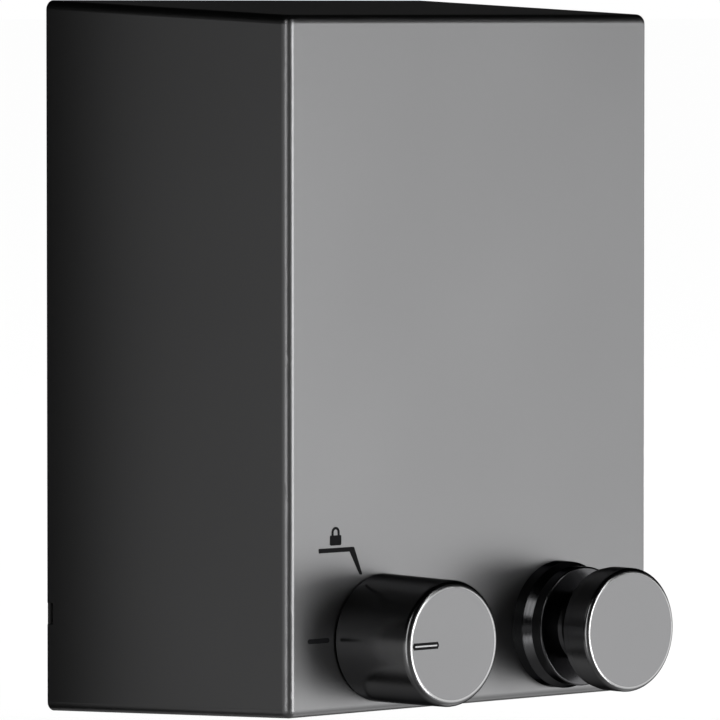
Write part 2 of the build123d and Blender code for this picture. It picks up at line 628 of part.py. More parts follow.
def guide_pin():
    """Headed pin through both ears with a groove for its clip."""
    outer = ROLLER_WIDTH / 2 + EAR_GAP + EAR_THICKNESS
    pin = cross_rod(GUIDE_PIN_RADIUS, KNOB_X - outer - GUIDE_PIN_TAIL, KNOB_X + outer)
    head_end = KNOB_X + outer + GUIDE_PIN_HEAD_THICKNESS
    pin += cross_rod(GUIDE_PIN_RADIUS + GUIDE_PIN_HEAD, KNOB_X + outer, head_end)
    groove = cross_rod(GUIDE_PIN_RADIUS, KNOB_X - outer - CLIP_THICKNESS, KNOB_X - outer)
    core = cross_rod(GUIDE_PIN_RADIUS - GUIDE_PIN_GROOVE, KNOB_X - outer - GUIDE_PIN_TAIL, KNOB_X)
    return pin - (groove - core)


def guide_pin_clip():
    """Open clip against the left ear."""
    outer = ROLLER_WIDTH / 2 + EAR_GAP + EAR_THICKNESS
    groove = GUIDE_PIN_RADIUS - GUIDE_PIN_GROOVE
    section = snap_ring(GUIDE_PIN_RADIUS + GUIDE_PIN_HEAD, groove + SEAT_GAP, GUIDE_CLIP_MOUTH)
    start = Plane.YZ.offset(KNOB_X - outer - CLIP_THICKNESS) * Pos(-ROLLER_DEPTH, ROLLER_Z)
    return extrude(start * section, CLIP_THICKNESS)


def outlet_collar():
    """Collar on the panel: rim, tapered nose behind the pull knob, flared bore and shank."""
    rim_front = CASE_DEPTH + COLLAR_RIM
    rim = COLLAR_RADIUS - COLLAR_RIM_DRAFT
    return turned([(COLLAR_BORE + COLLAR_FUNNEL, COLLAR_BACK), (COLLAR_SHANK_RADIUS, COLLAR_BACK),
                   (COLLAR_SHANK_RADIUS, CASE_DEPTH), (COLLAR_RADIUS, CASE_DEPTH),
                   (rim, rim_front - COLLAR_RIM_EDGE), (rim - COLLAR_RIM_EDGE / 2, rim_front),
                   (COLLAR_NOSE_RADIUS, COLLAR_FRONT),
                   (COLLAR_BORE + COLLAR_MOUTH, COLLAR_FRONT), (COLLAR_BORE, COLLAR_FRONT - COLLAR_MOUTH),
                   (COLLAR_BORE, COLLAR_BACK + COLLAR_FUNNEL_LENGTH)], KNOB_X, KNOB_Z)


def collar_nut():
    """Hexagon nut that draws the collar against the panel."""
    section = RegularPolygon(NUT_FLATS / 2, 6, major_radius=False)
    section -= Circle(COLLAR_SHANK_RADIUS + SEAT_GAP)
    return prism(Pos(KNOB_X, KNOB_Z) * section, NUT_BACK, PANEL_BACK)


def pull_stem():
    """Rear flange, waist and spigot of the pull knob, bored for the line and its ferrule."""
    root = PULL_NECK_ROOT
    bore = LINE_RADIUS + PULL_LINE_GAP
    pocket = FERRULE_RADIUS + FERRULE_GAP
    pocket_back = FERRULE_BACK - RUNNING_GAP
    stem = turned([(bore, PULL_BACK), (PULL_FLANGE_RADIUS, PULL_BACK),
                   (PULL_FLANGE_RADIUS, PULL_FLANGE_FRONT), (PULL_NECK_RADIUS + root, PULL_FLANGE_FRONT),
                   (PULL_NECK_RADIUS, PULL_FLANGE_FRONT + root), (PULL_NECK_RADIUS, PULL_HEAD_BACK),
                   (PULL_SPIGOT_RADIUS, PULL_HEAD_BACK), (PULL_SPIGOT_RADIUS, PULL_SPIGOT_FRONT),
                   (pocket, PULL_SPIGOT_FRONT), (pocket, pocket_back), (bore, pocket_back)], KNOB_X, KNOB_Z)
    stem = rounded_rim(stem, PULL_BACK, PULL_RIM_EDGE)
    return rounded_rim(stem, PULL_FLANGE_FRONT, PULL_FLANGE_EDGE)


def pull_head():
    """Grip disc of the pull knob, stepped behind and rounded in front."""
    socket = PULL_SPIGOT_RADIUS + SEAT_GAP
    socket_front = PULL_SPIGOT_FRONT + PULL_SPIGOT_GAP
    step = PULL_HEAD_RADIUS - PULL_HEAD_STEP
    disc = turned([(socket, PULL_HEAD_BACK), (step, PULL_HEAD_BACK), (step, PULL_HEAD_STEP_FRONT),
                   (PULL_HEAD_RADIUS, PULL_HEAD_STEP_FRONT), (PULL_HEAD_RADIUS, PULL_FRONT),
                   (0, PULL_FRONT), (0, socket_front), (socket, socket_front)], KNOB_X, KNOB_Z)
    disc = rounded_rim(disc, PULL_HEAD_BACK, PULL_RIM_EDGE)
    disc = rounded_rim(disc, PULL_HEAD_STEP_FRONT, PULL_RIM_EDGE)
    return rounded_front(disc, PULL_HEAD_EDGE)


def line_ferrule():
    """Crimped sleeve that keeps the line's end in the pull knob."""
    return ring(FERRULE_RADIUS, LINE_RADIUS + SEAT_GAP, FERRULE_BACK, FERRULE_FRONT, KNOB_X, KNOB_Z)


def lock_bush():
    """Flanged bush behind the panel with a seat for the shaft's seal in front."""
    bore = SHAFT_RADIUS + RUNNING_GAP
    return turned([(bore, BUSH_BACK), (BUSH_RADIUS, BUSH_BACK), (BUSH_RADIUS, BUSH_FLANGE_BACK),
                   (BUSH_FLANGE_RADIUS, BUSH_FLANGE_BACK), (BUSH_FLANGE_RADIUS, PANEL_BACK),
                   (BUSH_RADIUS, PANEL_BACK), (BUSH_RADIUS, BUSH_FRONT), (SEAL_SEAT_RADIUS, BUSH_FRONT),
                   (SEAL_SEAT_RADIUS, SEAL_SEAT_DEPTH), (bore, SEAL_SEAT_DEPTH)], -KNOB_X, KNOB_Z)


def shaft_seal():
    """Rubber ring that seals the shaft and holds the lock knob by friction."""
    middle = (SHAFT_RADIUS + SEAL_SEAT_RADIUS) / 2
    section = Pos(middle, -SEAL_SEAT_DEPTH - SEAL_RADIUS) * Circle(SEAL_RADIUS)
    return Pos(-KNOB_X, 0, KNOB_Z) * revolve(section, Axis.Y)


def lock_shaft():
    """Shaft with a flatted end for the knob, a flatted spigot for the crank and a clip groove."""
    clip_front = BUSH_BACK - SHAFT_CLIP_GAP
    clip_back = clip_front - CLIP_THICKNESS
    groove = SHAFT_RADIUS - SHAFT_GROOVE
    shaft = turned([(0, CRANK_BACK), (SPIGOT_RADIUS, CRANK_BACK), (SPIGOT_RADIUS, CRANK_FRONT),
                    (SHAFT_RADIUS, CRANK_FRONT), (SHAFT_RADIUS, clip_back),
                    (groove, clip_back), (groove, clip_front), (SHAFT_RADIUS, clip_front),
                    (SHAFT_RADIUS, SHAFT_FRONT), (0, SHAFT_FRONT)])
    for flat, back, front in ((SPIGOT_FLAT, CRANK_BACK, CRANK_FRONT),
                              (SHAFT_FLAT, LOCK_KNOB_HUB_BACK, SHAFT_FRONT)):
        shaft -= block(-SHAFT_RADIUS, SHAFT_RADIUS, -SHAFT_RADIUS, -flat, back, front)
    return Pos(-KNOB_X, 0, KNOB_Z) * shaft


def shaft_clip():
    """Open clip behind the bush."""
    groove = SHAFT_RADIUS - SHAFT_GROOVE
    section = snap_ring(SHAFT_RADIUS + SHAFT_CLIP_REACH, groove + SEAT_GAP, SHAFT_CLIP_MOUTH)
    clip_front = BUSH_BACK - SHAFT_CLIP_GAP
    return prism(Pos(-KNOB_X, KNOB_Z) * section, clip_front - CLIP_THICKNESS, clip_front)


def shaft_hole(radius, flat):
    """Section of a hole that fits a flatted shaft, flat downwards."""
    return Rot(0, 0, -90) * flat_round(radius + SEAT_GAP, flat + SEAT_GAP)


def crank_disc():
    """Disc on the shaft's inner end that carries the crank pin."""
    disc = Pos(-KNOB_X, KNOB_Z) * (Circle(CRANK_DISC_RADIUS) - shaft_hole(SPIGOT_RADIUS, SPIGOT_FLAT))
    disc -= Pos(CRANK_PIN_X, CRANK_PIN_Z) * Circle(CRANK_PIN_RADIUS + SEAT_GAP)
    return prism(disc, CRANK_BACK, CRANK_FRONT)


def crank_pin():
    """Pin that lifts the lock bar."""
    return rod(CRANK_PIN_RADIUS, CRANK_PIN_BACK, CRANK_FRONT, CRANK_PIN_X, CRANK_PIN_Z)


def lock_knob():
    """Tapered knob, hollow behind round its hub, with an index groove on its face."""
    hollow = LOCK_KNOB_BASE_RADIUS - LOCK_KNOB_SKIRT
    knob = turned([(0, LOCK_KNOB_HUB_BACK), (LOCK_KNOB_HUB_RADIUS, LOCK_KNOB_HUB_BACK),
                   (LOCK_KNOB_HUB_RADIUS, LOCK_KNOB_HOLLOW), (hollow, LOCK_KNOB_HOLLOW),
                   (hollow, LOCK_KNOB_BACK), (LOCK_KNOB_BASE_RADIUS, LOCK_KNOB_BACK),
                   (LOCK_KNOB_FRONT_RADIUS, LOCK_KNOB_FRONT), (0, LOCK_KNOB_FRONT)])
    knob = rounded_front(knob, LOCK_KNOB_EDGE)
    knob -= prism(shaft_hole(SHAFT_RADIUS, SHAFT_FLAT), LOCK_KNOB_HUB_BACK, SHAFT_FRONT + SHAFT_END_GAP)
    knob -= upright_rod(SET_SCREW_RADIUS + SEAT_GAP, -LOCK_KNOB_BASE_RADIUS, 0, 0, SET_SCREW_DEPTH)
    knob -= block(-INDEX_END, -INDEX_START, -INDEX_WIDTH / 2, INDEX_WIDTH / 2,
                  LOCK_KNOB_FRONT - INDEX_DEPTH, LOCK_KNOB_FRONT)
    return Pos(-KNOB_X, 0, KNOB_Z) * knob


def knob_set_screw():
    """Socket set screw from below against the shaft's flat."""
    top = -SHAFT_FLAT - SEAT_GAP
    bottom = top - SET_SCREW_LENGTH
    screw = upright_rod(SET_SCREW_RADIUS, bottom, top, 0, SET_SCREW_DEPTH)
    socket = extrude(RegularPolygon(SET_SCREW_SOCKET, 6, major_radius=False), SET_SCREW_SOCKET_DEPTH)
    return Pos(-KNOB_X, 0, KNOB_Z) * (screw - Pos(0, -SET_SCREW_DEPTH, bottom) * socket)


def lock_bar():
    """Flat bar: slotted foot on the crank pin, stem in the rails and a nose for the ratchet."""
    outline = Polyline((BAR_FOOT_LEFT, BAR_FOOT_BOTTOM), (BAR_RIGHT, BAR_FOOT_BOTTOM),
                       (BAR_RIGHT, BAR_SHOULDER), (BAR_NOSE_X, BAR_SHOULDER), (BAR_NOSE_X, BAR_NOSE_TOP),
                       (BAR_LEFT, BAR_NOSE_HEEL), (BAR_LEFT, BAR_FOOT_TOP), (BAR_FOOT_LEFT, BAR_FOOT_TOP),
                       close=True)
    plate = make_face(outline)
    foot_corners = [corner for corner in plate.vertices() if corner.Y < BAR_FOOT_TOP + 1]
    plate = fillet(foot_corners, BAR_FOOT_CORNER)
    pin_reach = CRANK_RADIUS * (1 - math.cos(math.radians(LOCK_SWING / 2)))
    slot_height = 2 * (CRANK_PIN_RADIUS + BAR_SLOT_GAP)
    slot = SlotCenterToCenter(pin_reach + 2 * BAR_SLOT_GAP, slot_height)
    plate -= Pos(CRANK_PIN_X - pin_reach / 2, CRANK_PIN_Z) * slot
    return prism(plate, BAR_BACK, BAR_FRONT)


PIECES = {
    "wall_plate": wall_plate,
    "case_shell": case_shell,
    "rim_gasket": rim_gasket,
    "chassis": chassis,
    "chassis_screws": chassis_screws,
    "base_screw": base_screw,
    "drum_axle": drum_axle,
    "axle_screw": axle_screw,
    "axle_washers": axle_washers,
    "axle_clip": axle_clip,
    "guide_pin": guide_pin,
    "guide_pin_clip": guide_pin_clip,
    "outlet_collar": outlet_collar,
    "collar_nut": collar_nut,
    "lock_bush": lock_bush,
    "shaft_seal": shaft_seal,
    "line_lead": line_lead,
    "drum_spool": drum_spool,
    "drum_bush_front": lambda: drum_bush(DRUM_FRONT),
    "drum_bush_rear": lambda: drum_bush(RATCHET_BACK + DRUM_BUSH_LENGTH),
    "power_spring": power_spring,
    "spring_cover": spring_cover,
    "line_winding": line_winding,
    "guide_roller": guide_roller,
    "lock_knob": lock_knob,
    "knob_set_screw": knob_set_screw,
    "lock_shaft": lock_shaft,
    "shaft_clip": shaft_clip,
    "crank_disc": crank_disc,
    "crank_pin": crank_pin,
    "lock_bar": lock_bar,
    "pull_stem": pull_stem,
    "pull_head": pull_head,
    "line_ferrule": line_ferrule,
    "line_end": line_end,
}

os.makedirs("parts", exist_ok=True)
for name, make_piece in PIECES.items():
    export_step(make_piece(), f"parts/{name}.step")
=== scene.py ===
import math

import bmesh
import bpy
from bpy.props import FloatProperty, FloatVectorProperty, IntProperty, PointerProperty
from mathutils import Matrix, Vector


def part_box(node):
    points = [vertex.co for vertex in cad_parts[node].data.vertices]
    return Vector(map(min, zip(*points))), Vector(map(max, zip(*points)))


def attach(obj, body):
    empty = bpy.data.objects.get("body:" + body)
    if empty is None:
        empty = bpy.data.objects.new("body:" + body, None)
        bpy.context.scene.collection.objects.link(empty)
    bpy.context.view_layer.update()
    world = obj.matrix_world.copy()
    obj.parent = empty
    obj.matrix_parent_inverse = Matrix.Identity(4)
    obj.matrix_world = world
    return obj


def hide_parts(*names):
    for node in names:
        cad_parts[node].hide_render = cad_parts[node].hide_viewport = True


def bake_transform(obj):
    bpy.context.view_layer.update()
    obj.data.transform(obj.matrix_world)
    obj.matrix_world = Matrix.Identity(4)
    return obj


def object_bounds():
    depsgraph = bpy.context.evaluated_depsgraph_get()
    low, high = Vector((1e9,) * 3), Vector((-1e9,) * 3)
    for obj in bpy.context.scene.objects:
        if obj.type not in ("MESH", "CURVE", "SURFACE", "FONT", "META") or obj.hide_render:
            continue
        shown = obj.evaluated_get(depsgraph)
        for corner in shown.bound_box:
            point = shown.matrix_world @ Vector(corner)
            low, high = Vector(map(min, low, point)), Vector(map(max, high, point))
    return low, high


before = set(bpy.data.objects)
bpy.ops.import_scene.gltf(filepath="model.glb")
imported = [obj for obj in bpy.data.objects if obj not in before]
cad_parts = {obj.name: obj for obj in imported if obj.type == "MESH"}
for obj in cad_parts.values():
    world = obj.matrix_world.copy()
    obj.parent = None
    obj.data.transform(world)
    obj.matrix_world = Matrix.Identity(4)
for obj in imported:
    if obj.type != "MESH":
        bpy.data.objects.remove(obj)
CAD_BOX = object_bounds()

bl_info = {
    "name": "Clothesline Dresser",
    "version": (1, 0, 0),
    "blender": (4, 5, 0),
    "location": "View3D > Sidebar > Clothesline",
    "description": "Finishes, signs, line and studio for a wall-mounted retractable clothesline",
    "category": "Object",
}

MM = 0.001
SAME_POINT = 0.0001 * MM
SMOOTH_ANGLE = math.radians(35)
UP_TO_FRONT = Matrix.Rotation(math.radians(90), 3, "X")


def middle(node):
    """Centre of a CAD node's box, in metres."""
    low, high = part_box(node)
    return (low + high) / 2


def front_level(node):
    """Level of a CAD node's front along Y, in metres."""
    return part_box(node)[0].y


LOCK_AXIS = middle("lock_knob")
PULL_AXIS = middle("pull_head")
DRUM_AXIS = middle("spring_cover")
PANEL_Y = front_level("case_shell")
LOCK_FACE_Y = front_level("lock_knob")
PULL_FACE_Y = front_level("pull_head")
LOCK_FACE_RADIUS = 8.1 * MM
PULL_FACE_RADIUS = 8.35 * MM


class CaseSettings(bpy.types.PropertyGroup):
    """Coat of the case."""

    colour: FloatVectorProperty(
        name="Coat colour", description="Gunmetal tone of the case", subtype="COLOR", size=3,
        min=0.0, max=1.0, default=(0.345, 0.345, 0.35))
    roughness: FloatProperty(
        name="Roughness", description="Satin gloss of the coat", subtype="FACTOR", min=0.0, max=1.0,
        default=0.35)
    grain: FloatProperty(
        name="Grain", description="Size of the metallic flakes in the coat", unit="LENGTH",
        default=0.26 * MM)


class KnobSettings(bpy.types.PropertyGroup):
    """Turned metal of both knobs, the collar and the stem."""

    colour: FloatVectorProperty(
        name="Metal colour", description="Anodised tone of the knobs", subtype="COLOR", size=3,
        min=0.0, max=1.0, default=(0.318, 0.318, 0.323))
    roughness: FloatProperty(
        name="Roughness", description="Satin gloss of the knobs", subtype="FACTOR", min=0.0, max=1.0,
        default=0.21)
    lathe_pitch: FloatProperty(
        name="Lathe pitch", description="Distance between turning marks", unit="LENGTH",
        default=0.3 * MM)
    rim_width: FloatProperty(
        name="Rim width", description="Width of the bright cut round each knob's face", unit="LENGTH",
        default=0.3 * MM)
    rim_shine: FloatProperty(
        name="Rim shine", description="How much paler than the face the bright cut is",
        subtype="FACTOR", min=0.0, max=1.0, default=0.3)
    collar_colour: FloatVectorProperty(
        name="Collar colour", description="Black anodised tone of the collar and the stem",
        subtype="COLOR", size=3, min=0.0, max=1.0, default=(0.14, 0.14, 0.145))


class MarkSettings(bpy.types.PropertyGroup):
    """Signs on the front panel and the lock knob."""

    ink: FloatVectorProperty(
        name="Ink", description="Dark enamel of the signs", subtype="COLOR", size=3,
        min=0.0, max=1.0, default=(0.008, 0.008, 0.009))
    relief: FloatProperty(
        name="Relief", description="How far the enamel stands proud", unit="LENGTH",
        default=0.04 * MM)
    index_width: FloatProperty(
        name="Index width", description="Stroke of the lock knob's index", unit="LENGTH",
        default=0.95 * MM)
    tick_width: FloatProperty(
        name="Tick width", description="Stroke of the index tick", unit="LENGTH", default=0.7 * MM)
    rule_width: FloatProperty(
        name="Rule width", description="Stroke of the line under the padlock", unit="LENGTH",
        default=0.66 * MM)
    leader_width: FloatProperty(
        name="Leader width", description="Stroke that points at the lock position", unit="LENGTH",
        default=0.54 * MM)


class LineSettings(bpy.types.PropertyGroup):
    """Braided line."""

    colour: FloatVectorProperty(
        name="Line colour", description="Tone of the braided line", subtype="COLOR", size=3,
        min=0.0, max=1.0, default=(0.74, 0.74, 0.71))
    radius: FloatProperty(
        name="Radius", description="Half the line's thickness", unit="LENGTH", default=1.1 * MM)
    wound_radius: FloatProperty(
        name="Wound radius", description="Half its thickness where the turns press together",
        unit="LENGTH", default=0.95 * MM)
    braid: FloatProperty(
        name="Braid", description="Length of one stitch of the braid", unit="LENGTH",
        default=0.9 * MM)
    turns: IntProperty(name="Turns", description="Turns in a full layer on the drum", min=1, default=8)


class StageSettings(bpy.types.PropertyGroup):
    """Floor, light and camera."""

    floor_colour: FloatVectorProperty(
        name="Floor colour", description="Pale studio floor", subtype="COLOR", size=3,
        min=0.0, max=1.0, default=(0.985, 0.985, 0.985))
    floor_gap: FloatProperty(
        name="Floor gap", description="Distance from the case down to the floor", unit="LENGTH",
        default=16 * MM)
    world: FloatProperty(
        name="World", description="Brightness of the white light all round", min=0.0, default=1.0)
    key: FloatProperty(
        name="Key lamp", description="Power of the front lamp", unit="POWER", default=4.0)
    lens: FloatProperty(
        name="Lens", description="Focal length in millimetres", subtype="DISTANCE_CAMERA",
        default=376.4)


def add_node(tree, kind, links=(), values=(), **settings):
    """Add a shader node with its settings, plain input values and links into its inputs."""
    node = tree.nodes.new(kind)
    for name, value in settings.items():
        setattr(node, name, value)
    for socket, value in dict(values).items():
        node.inputs[socket].default_value = value
    for socket, output in dict(links).items():
        tree.links.new(output, node.inputs[socket])
    return node


class Finish:
    """A Principled material whose patterns read Object coordinates."""

    # Length of one wave of the wave texture at scale 1, measured across its rings
    WAVE_LENGTH = math.tau / 20
    # Part of a pattern's range over which the colour goes from darker to lighter
    TINT_RANGE = 0.25, 0.75
    # How much more a distance along Y counts than one from the axis, to keep a bright cut on its face
    DEPTH_WEIGHT = 10

    def __init__(self, name, colour, metallic, roughness):
        self.material = bpy.data.materials.new(name)
        self.material.use_nodes = True
        self.tree = self.material.node_tree
        self.shader = self.tree.nodes["Principled BSDF"]
        self.colour = Vector(colour)
        self.roughness = roughness
        self.set("Base Color", (*colour, 1.0))
        self.set("Metallic", metallic)
        self.set("Roughness", roughness)

    def set(self, socket, value):
        """Give one of the shader's own sockets a plain value."""
        self.shader.inputs[socket].default_value = value

    def node(self, kind, links=(), values=(), **settings):
        """Add a node to this material."""
        return add_node(self.tree, kind, links, values, **settings)

    def into(self, socket, output):
        """Link an output into one of the shader's sockets."""
        self.tree.links.new(output, self.shader.inputs[socket])

    def place(self, centre=(0, 0, 0), stretch=(1, 1, 1)):
        """Object coordinates about a centre, stretched along the axes."""
        source = self.node("ShaderNodeTexCoord")
        shift = [-c * s for c, s in zip(centre, stretch)]
        mapping = self.node("ShaderNodeMapping", {"Vector": source.outputs["Object"]},
                            {"Location": shift, "Scale": stretch})
        return mapping.outputs["Vector"]

    def noise(self, size, detail=2.0, stretch=(1, 1, 1)):
        """Soft random pattern with spots of about the given size."""
        return self.node("ShaderNodeTexNoise", {"Vector": self.place(stretch=stretch)},
                         {"Scale": 1 / size, "Detail": detail}).outputs["Fac"]

    def rings(self, centre, pitch):
        """Turning marks about the Y axis through a centre."""
        return self.node("ShaderNodeTexWave", {"Vector": self.place(centre)},
                         {"Scale": self.WAVE_LENGTH / pitch, "Distortion": 0.6, "Detail": 1.0},
                         wave_type="RINGS", rings_direction="Y").outputs["Fac"]

    def spangle(self, size):
        """Crystal cells, as zinc shows."""
        return self.node("ShaderNodeTexVoronoi", {"Vector": self.place()},
                         {"Scale": 1 / size}).outputs["Color"]

    def weave(self, size):
        """Two crossing diagonal waves, as a braid shows."""
        waves = []
        for lean in (1, -1):
            wave = self.node("ShaderNodeTexWave", {"Vector": self.place(stretch=(1, lean, lean))},
                             {"Scale": self.WAVE_LENGTH / size}, bands_direction="DIAGONAL")
            waves.append(wave.outputs["Fac"])
        return self.node("ShaderNodeMath", {0: waves[0], 1: waves[1]}, operation="MAXIMUM").outputs[0]

    def roughen(self, pattern, smoother, rougher):
        """Let the gloss vary with a pattern, below and above the written roughness."""
        spread = self.node("ShaderNodeMapRange", {"Value": pattern},
                           {"To Min": self.roughness - smoother, "To Max": self.roughness + rougher})
        self.into("Roughness", spread.outputs["Result"])

    def tint(self, pattern, darker, lighter):
        """Let the colour vary with a pattern, by factors of the written colour."""
        ramp = self.node("ShaderNodeValToRGB", {"Fac": pattern})
        stops = zip(ramp.color_ramp.elements, self.TINT_RANGE, (darker, lighter))
        for element, position, factor in stops:
            element.position = position
            element.color = (*(self.colour * factor), 1.0)
        self.into("Base Color", ramp.outputs["Color"])

    def cut_rim(self, centre, radius, width, shine):
        """Paler bare metal in a narrow ring about the Y axis, at the level of the centre."""
        offset = self.place(centre, stretch=(1, self.DEPTH_WEIGHT, 1))
        reach = self.node("ShaderNodeVectorMath", {0: offset}, operation="LENGTH")
        ring = self.node("ShaderNodeMath", {0: reach.outputs["Value"]},
                         {1: radius + width / 2, 2: width / 2}, operation="COMPARE")
        colour = self.shader.inputs["Base Color"].links[0].from_socket
        paler = self.node("ShaderNodeVectorMath", {0: ring.outputs["Value"], 2: colour},
                          {1: (shine, shine, shine)}, operation="MULTIPLY_ADD")
        self.into("Base Color", paler.outputs["Vector"])

    def emboss(self, pattern, depth):
        """Let a pattern raise the surface by a depth in metres."""
        bump = self.node("ShaderNodeBump", {"Height": pattern}, {"Strength": 1.0, "Distance": depth})
        self.into("Normal", bump.outputs["Normal"])


def metal(name, colour, roughness, grain, centre=None):
    """Bare or plated metal with fine scratches, or turning marks where a centre is given."""
    finish = Finish(name, colour, metallic=1.0, roughness=roughness)
    scratches = finish.noise(grain, detail=3.0)
    relief = scratches if centre is None else finish.rings(centre, pitch=0.2 * MM)
    finish.roughen(scratches, smoother=0.06, rougher=0.06)
    finish.tint(finish.noise(12 * MM), darker=0.94, lighter=1.05)
    finish.emboss(relief, depth=0.003 * MM)
    return finish


def turned_metal(name, settings, colour, centre):
    """Anodised metal that darkens at a glancing angle, with turning marks in its gloss."""
    finish = Finish(name, colour, metallic=1.0, roughness=settings.roughness)
    finish.roughen(finish.rings(centre, settings.lathe_pitch), smoother=0.03, rougher=0.03)
    finish.tint(finish.noise(20 * MM, detail=1.0), darker=0.975, lighter=1.02)
    finish.emboss(finish.noise(0.2 * MM), depth=0.0004 * MM)
    finish.set("Specular Tint", (0.1, 0.1, 0.1, 1.0))
    return finish


def plastic(name, colour, roughness, grain, depth=0.008 * MM):
    """Moulded plastic with a fine texture and faint flow clouds."""
    finish = Finish(name, colour, metallic=0.0, roughness=roughness)
    texture = finish.noise(grain, detail=3.0)
    finish.roughen(texture, smoother=0.05, rougher=0.07)
    finish.tint(finish.noise(15 * MM), darker=0.92, lighter=1.06)
    finish.emboss(texture, depth)
    return finish


def coat(finish, *nodes):
    """Give CAD nodes a finish."""
    for node in nodes:
        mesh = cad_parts[node].data
        mesh.materials.clear()
        mesh.materials.append(finish.material)


def finished(bm, name, body, finish):
    """Clean a bmesh and turn it into a piece that rides on a body, or on none."""
    bmesh.ops.remove_doubles(bm, verts=bm.verts, dist=SAME_POINT)
    bmesh.ops.recalc_face_normals(bm, faces=bm.faces)
    mesh = bpy.data.meshes.new(name)
    bm.to_mesh(mesh)
    bm.free()
    return finished_mesh(mesh, name, body, finish)


def finished_mesh(mesh, name, body, finish):
    """Turn a mesh into a piece that rides on a body, or on none."""
    mesh.materials.clear()
    mesh.materials.append(finish.material)
    mesh.shade_smooth()
    mesh.set_sharp_from_angle(angle=SMOOTH_ANGLE)
    piece = bpy.data.objects.new(name, mesh)
    bpy.context.scene.collection.objects.link(piece)
    if body:
        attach(piece, body)
    return piece


def pulled(bm, face, move):
    """Extrude a face along a vector and give the face at its new end."""
    grown = bmesh.ops.extrude_face_region(bm, geom=[face])["geom"]
    verts = [part for part in grown if isinstance(part, bmesh.types.BMVert)]
    bmesh.ops.translate(bm, verts=verts, vec=move)
    return next(part for part in grown if isinstance(part, bmesh.types.BMFace))


def slab(bm, outline, back, front, rounds):
    """Flat shape in X and Z between two Y levels, with a rounding for each corner of its outline."""
    face = bm.faces.new([bm.verts.new((x, back, z)) for x, z in outline])
    front_face = pulled(bm, face, (0, front - back, 0))
    ordered = [loop.vert for loop in front_face.loops]
    for radius in sorted(set(rounds), reverse=True):
        wanted = [corner for corner, rounding in zip(outline, rounds) if rounding == radius]
        uprights = [e for v in ordered if v.is_valid for e in v.link_edges
                    if abs(e.verts[0].co.y - e.verts[1].co.y) > SAME_POINT
                    and any(math.dist((v.co.x, v.co.z), corner) < SAME_POINT for corner in wanted)]
        if radius > 0 and uprights:
            bmesh.ops.bevel(bm, geom=uprights, offset=radius, offset_type="OFFSET", affect="EDGES",
                            segments=5, profile=0.5, material=-1)


def stroke(bm, start, end, width, back, front):
    """Straight stroke with round ends between two points in X and Z."""
    # A little under half the width, so that the roundings at one end don't meet
    rounding = width * 0.499
    run = Vector(end) - Vector(start)
    side = Vector((-run.y, run.x)).normalized() * width / 2
    tail = run.normalized() * width / 2
    a, b = Vector(start) - tail, Vector(end) + tail
    outline = [tuple(a - side), tuple(b - side), tuple(b + side), tuple(a + side)]
    slab(bm, outline, back, front, rounds=[rounding] * 4)


class CLOTHESLINE_OT_case(bpy.types.Operator):
    """Coat the case in satin gunmetal"""

    bl_idname = "clothesline.case"
    bl_label = "Case"

    def execute(self, context):
        settings = context.scene.clothesline_case
        finish = Finish("case_coat", settings.colour, metallic=1.0, roughness=settings.roughness)
        flakes = finish.noise(settings.grain, detail=3.0)
        finish.roughen(flakes, smoother=0.05, rougher=0.05)
        finish.tint(finish.noise(30 * MM, detail=1.0), darker=0.975, lighter=1.02)
        finish.emboss(flakes, depth=0.004 * MM)
        coat(finish, "case_shell")
        return {"FINISHED"}


class CLOTHESLINE_OT_knobs(bpy.types.Operator):
    """Give both knobs their turned metal with a bright cut round the face"""

    bl_idname = "clothesline.knobs"
    bl_label = "Knobs"

    def execute(self, context):
        settings = context.scene.clothesline_knobs
        knobs = (("lock_knob", LOCK_AXIS, LOCK_FACE_Y, LOCK_FACE_RADIUS),
                 ("pull_head", PULL_AXIS, PULL_FACE_Y, PULL_FACE_RADIUS))
        for node, axis, face_y, radius in knobs:
            finish = turned_metal(f"{node}_metal", settings, settings.colour, axis)
            finish.cut_rim((axis.x, face_y, axis.z), radius, settings.rim_width, settings.rim_shine)
            coat(finish, node)
        return {"FINISHED"}


class CLOTHESLINE_OT_collar(bpy.types.Operator):
    """Blacken the outlet collar and the pull knob's stem"""

    bl_idname = "clothesline.collar"
    bl_label = "Collar"

    def execute(self, context):
        settings = context.scene.clothesline_knobs
        black = turned_metal("collar_black", settings, settings.collar_colour, PULL_AXIS)
        coat(black, "outlet_collar", "pull_stem")
        return {"FINISHED"}


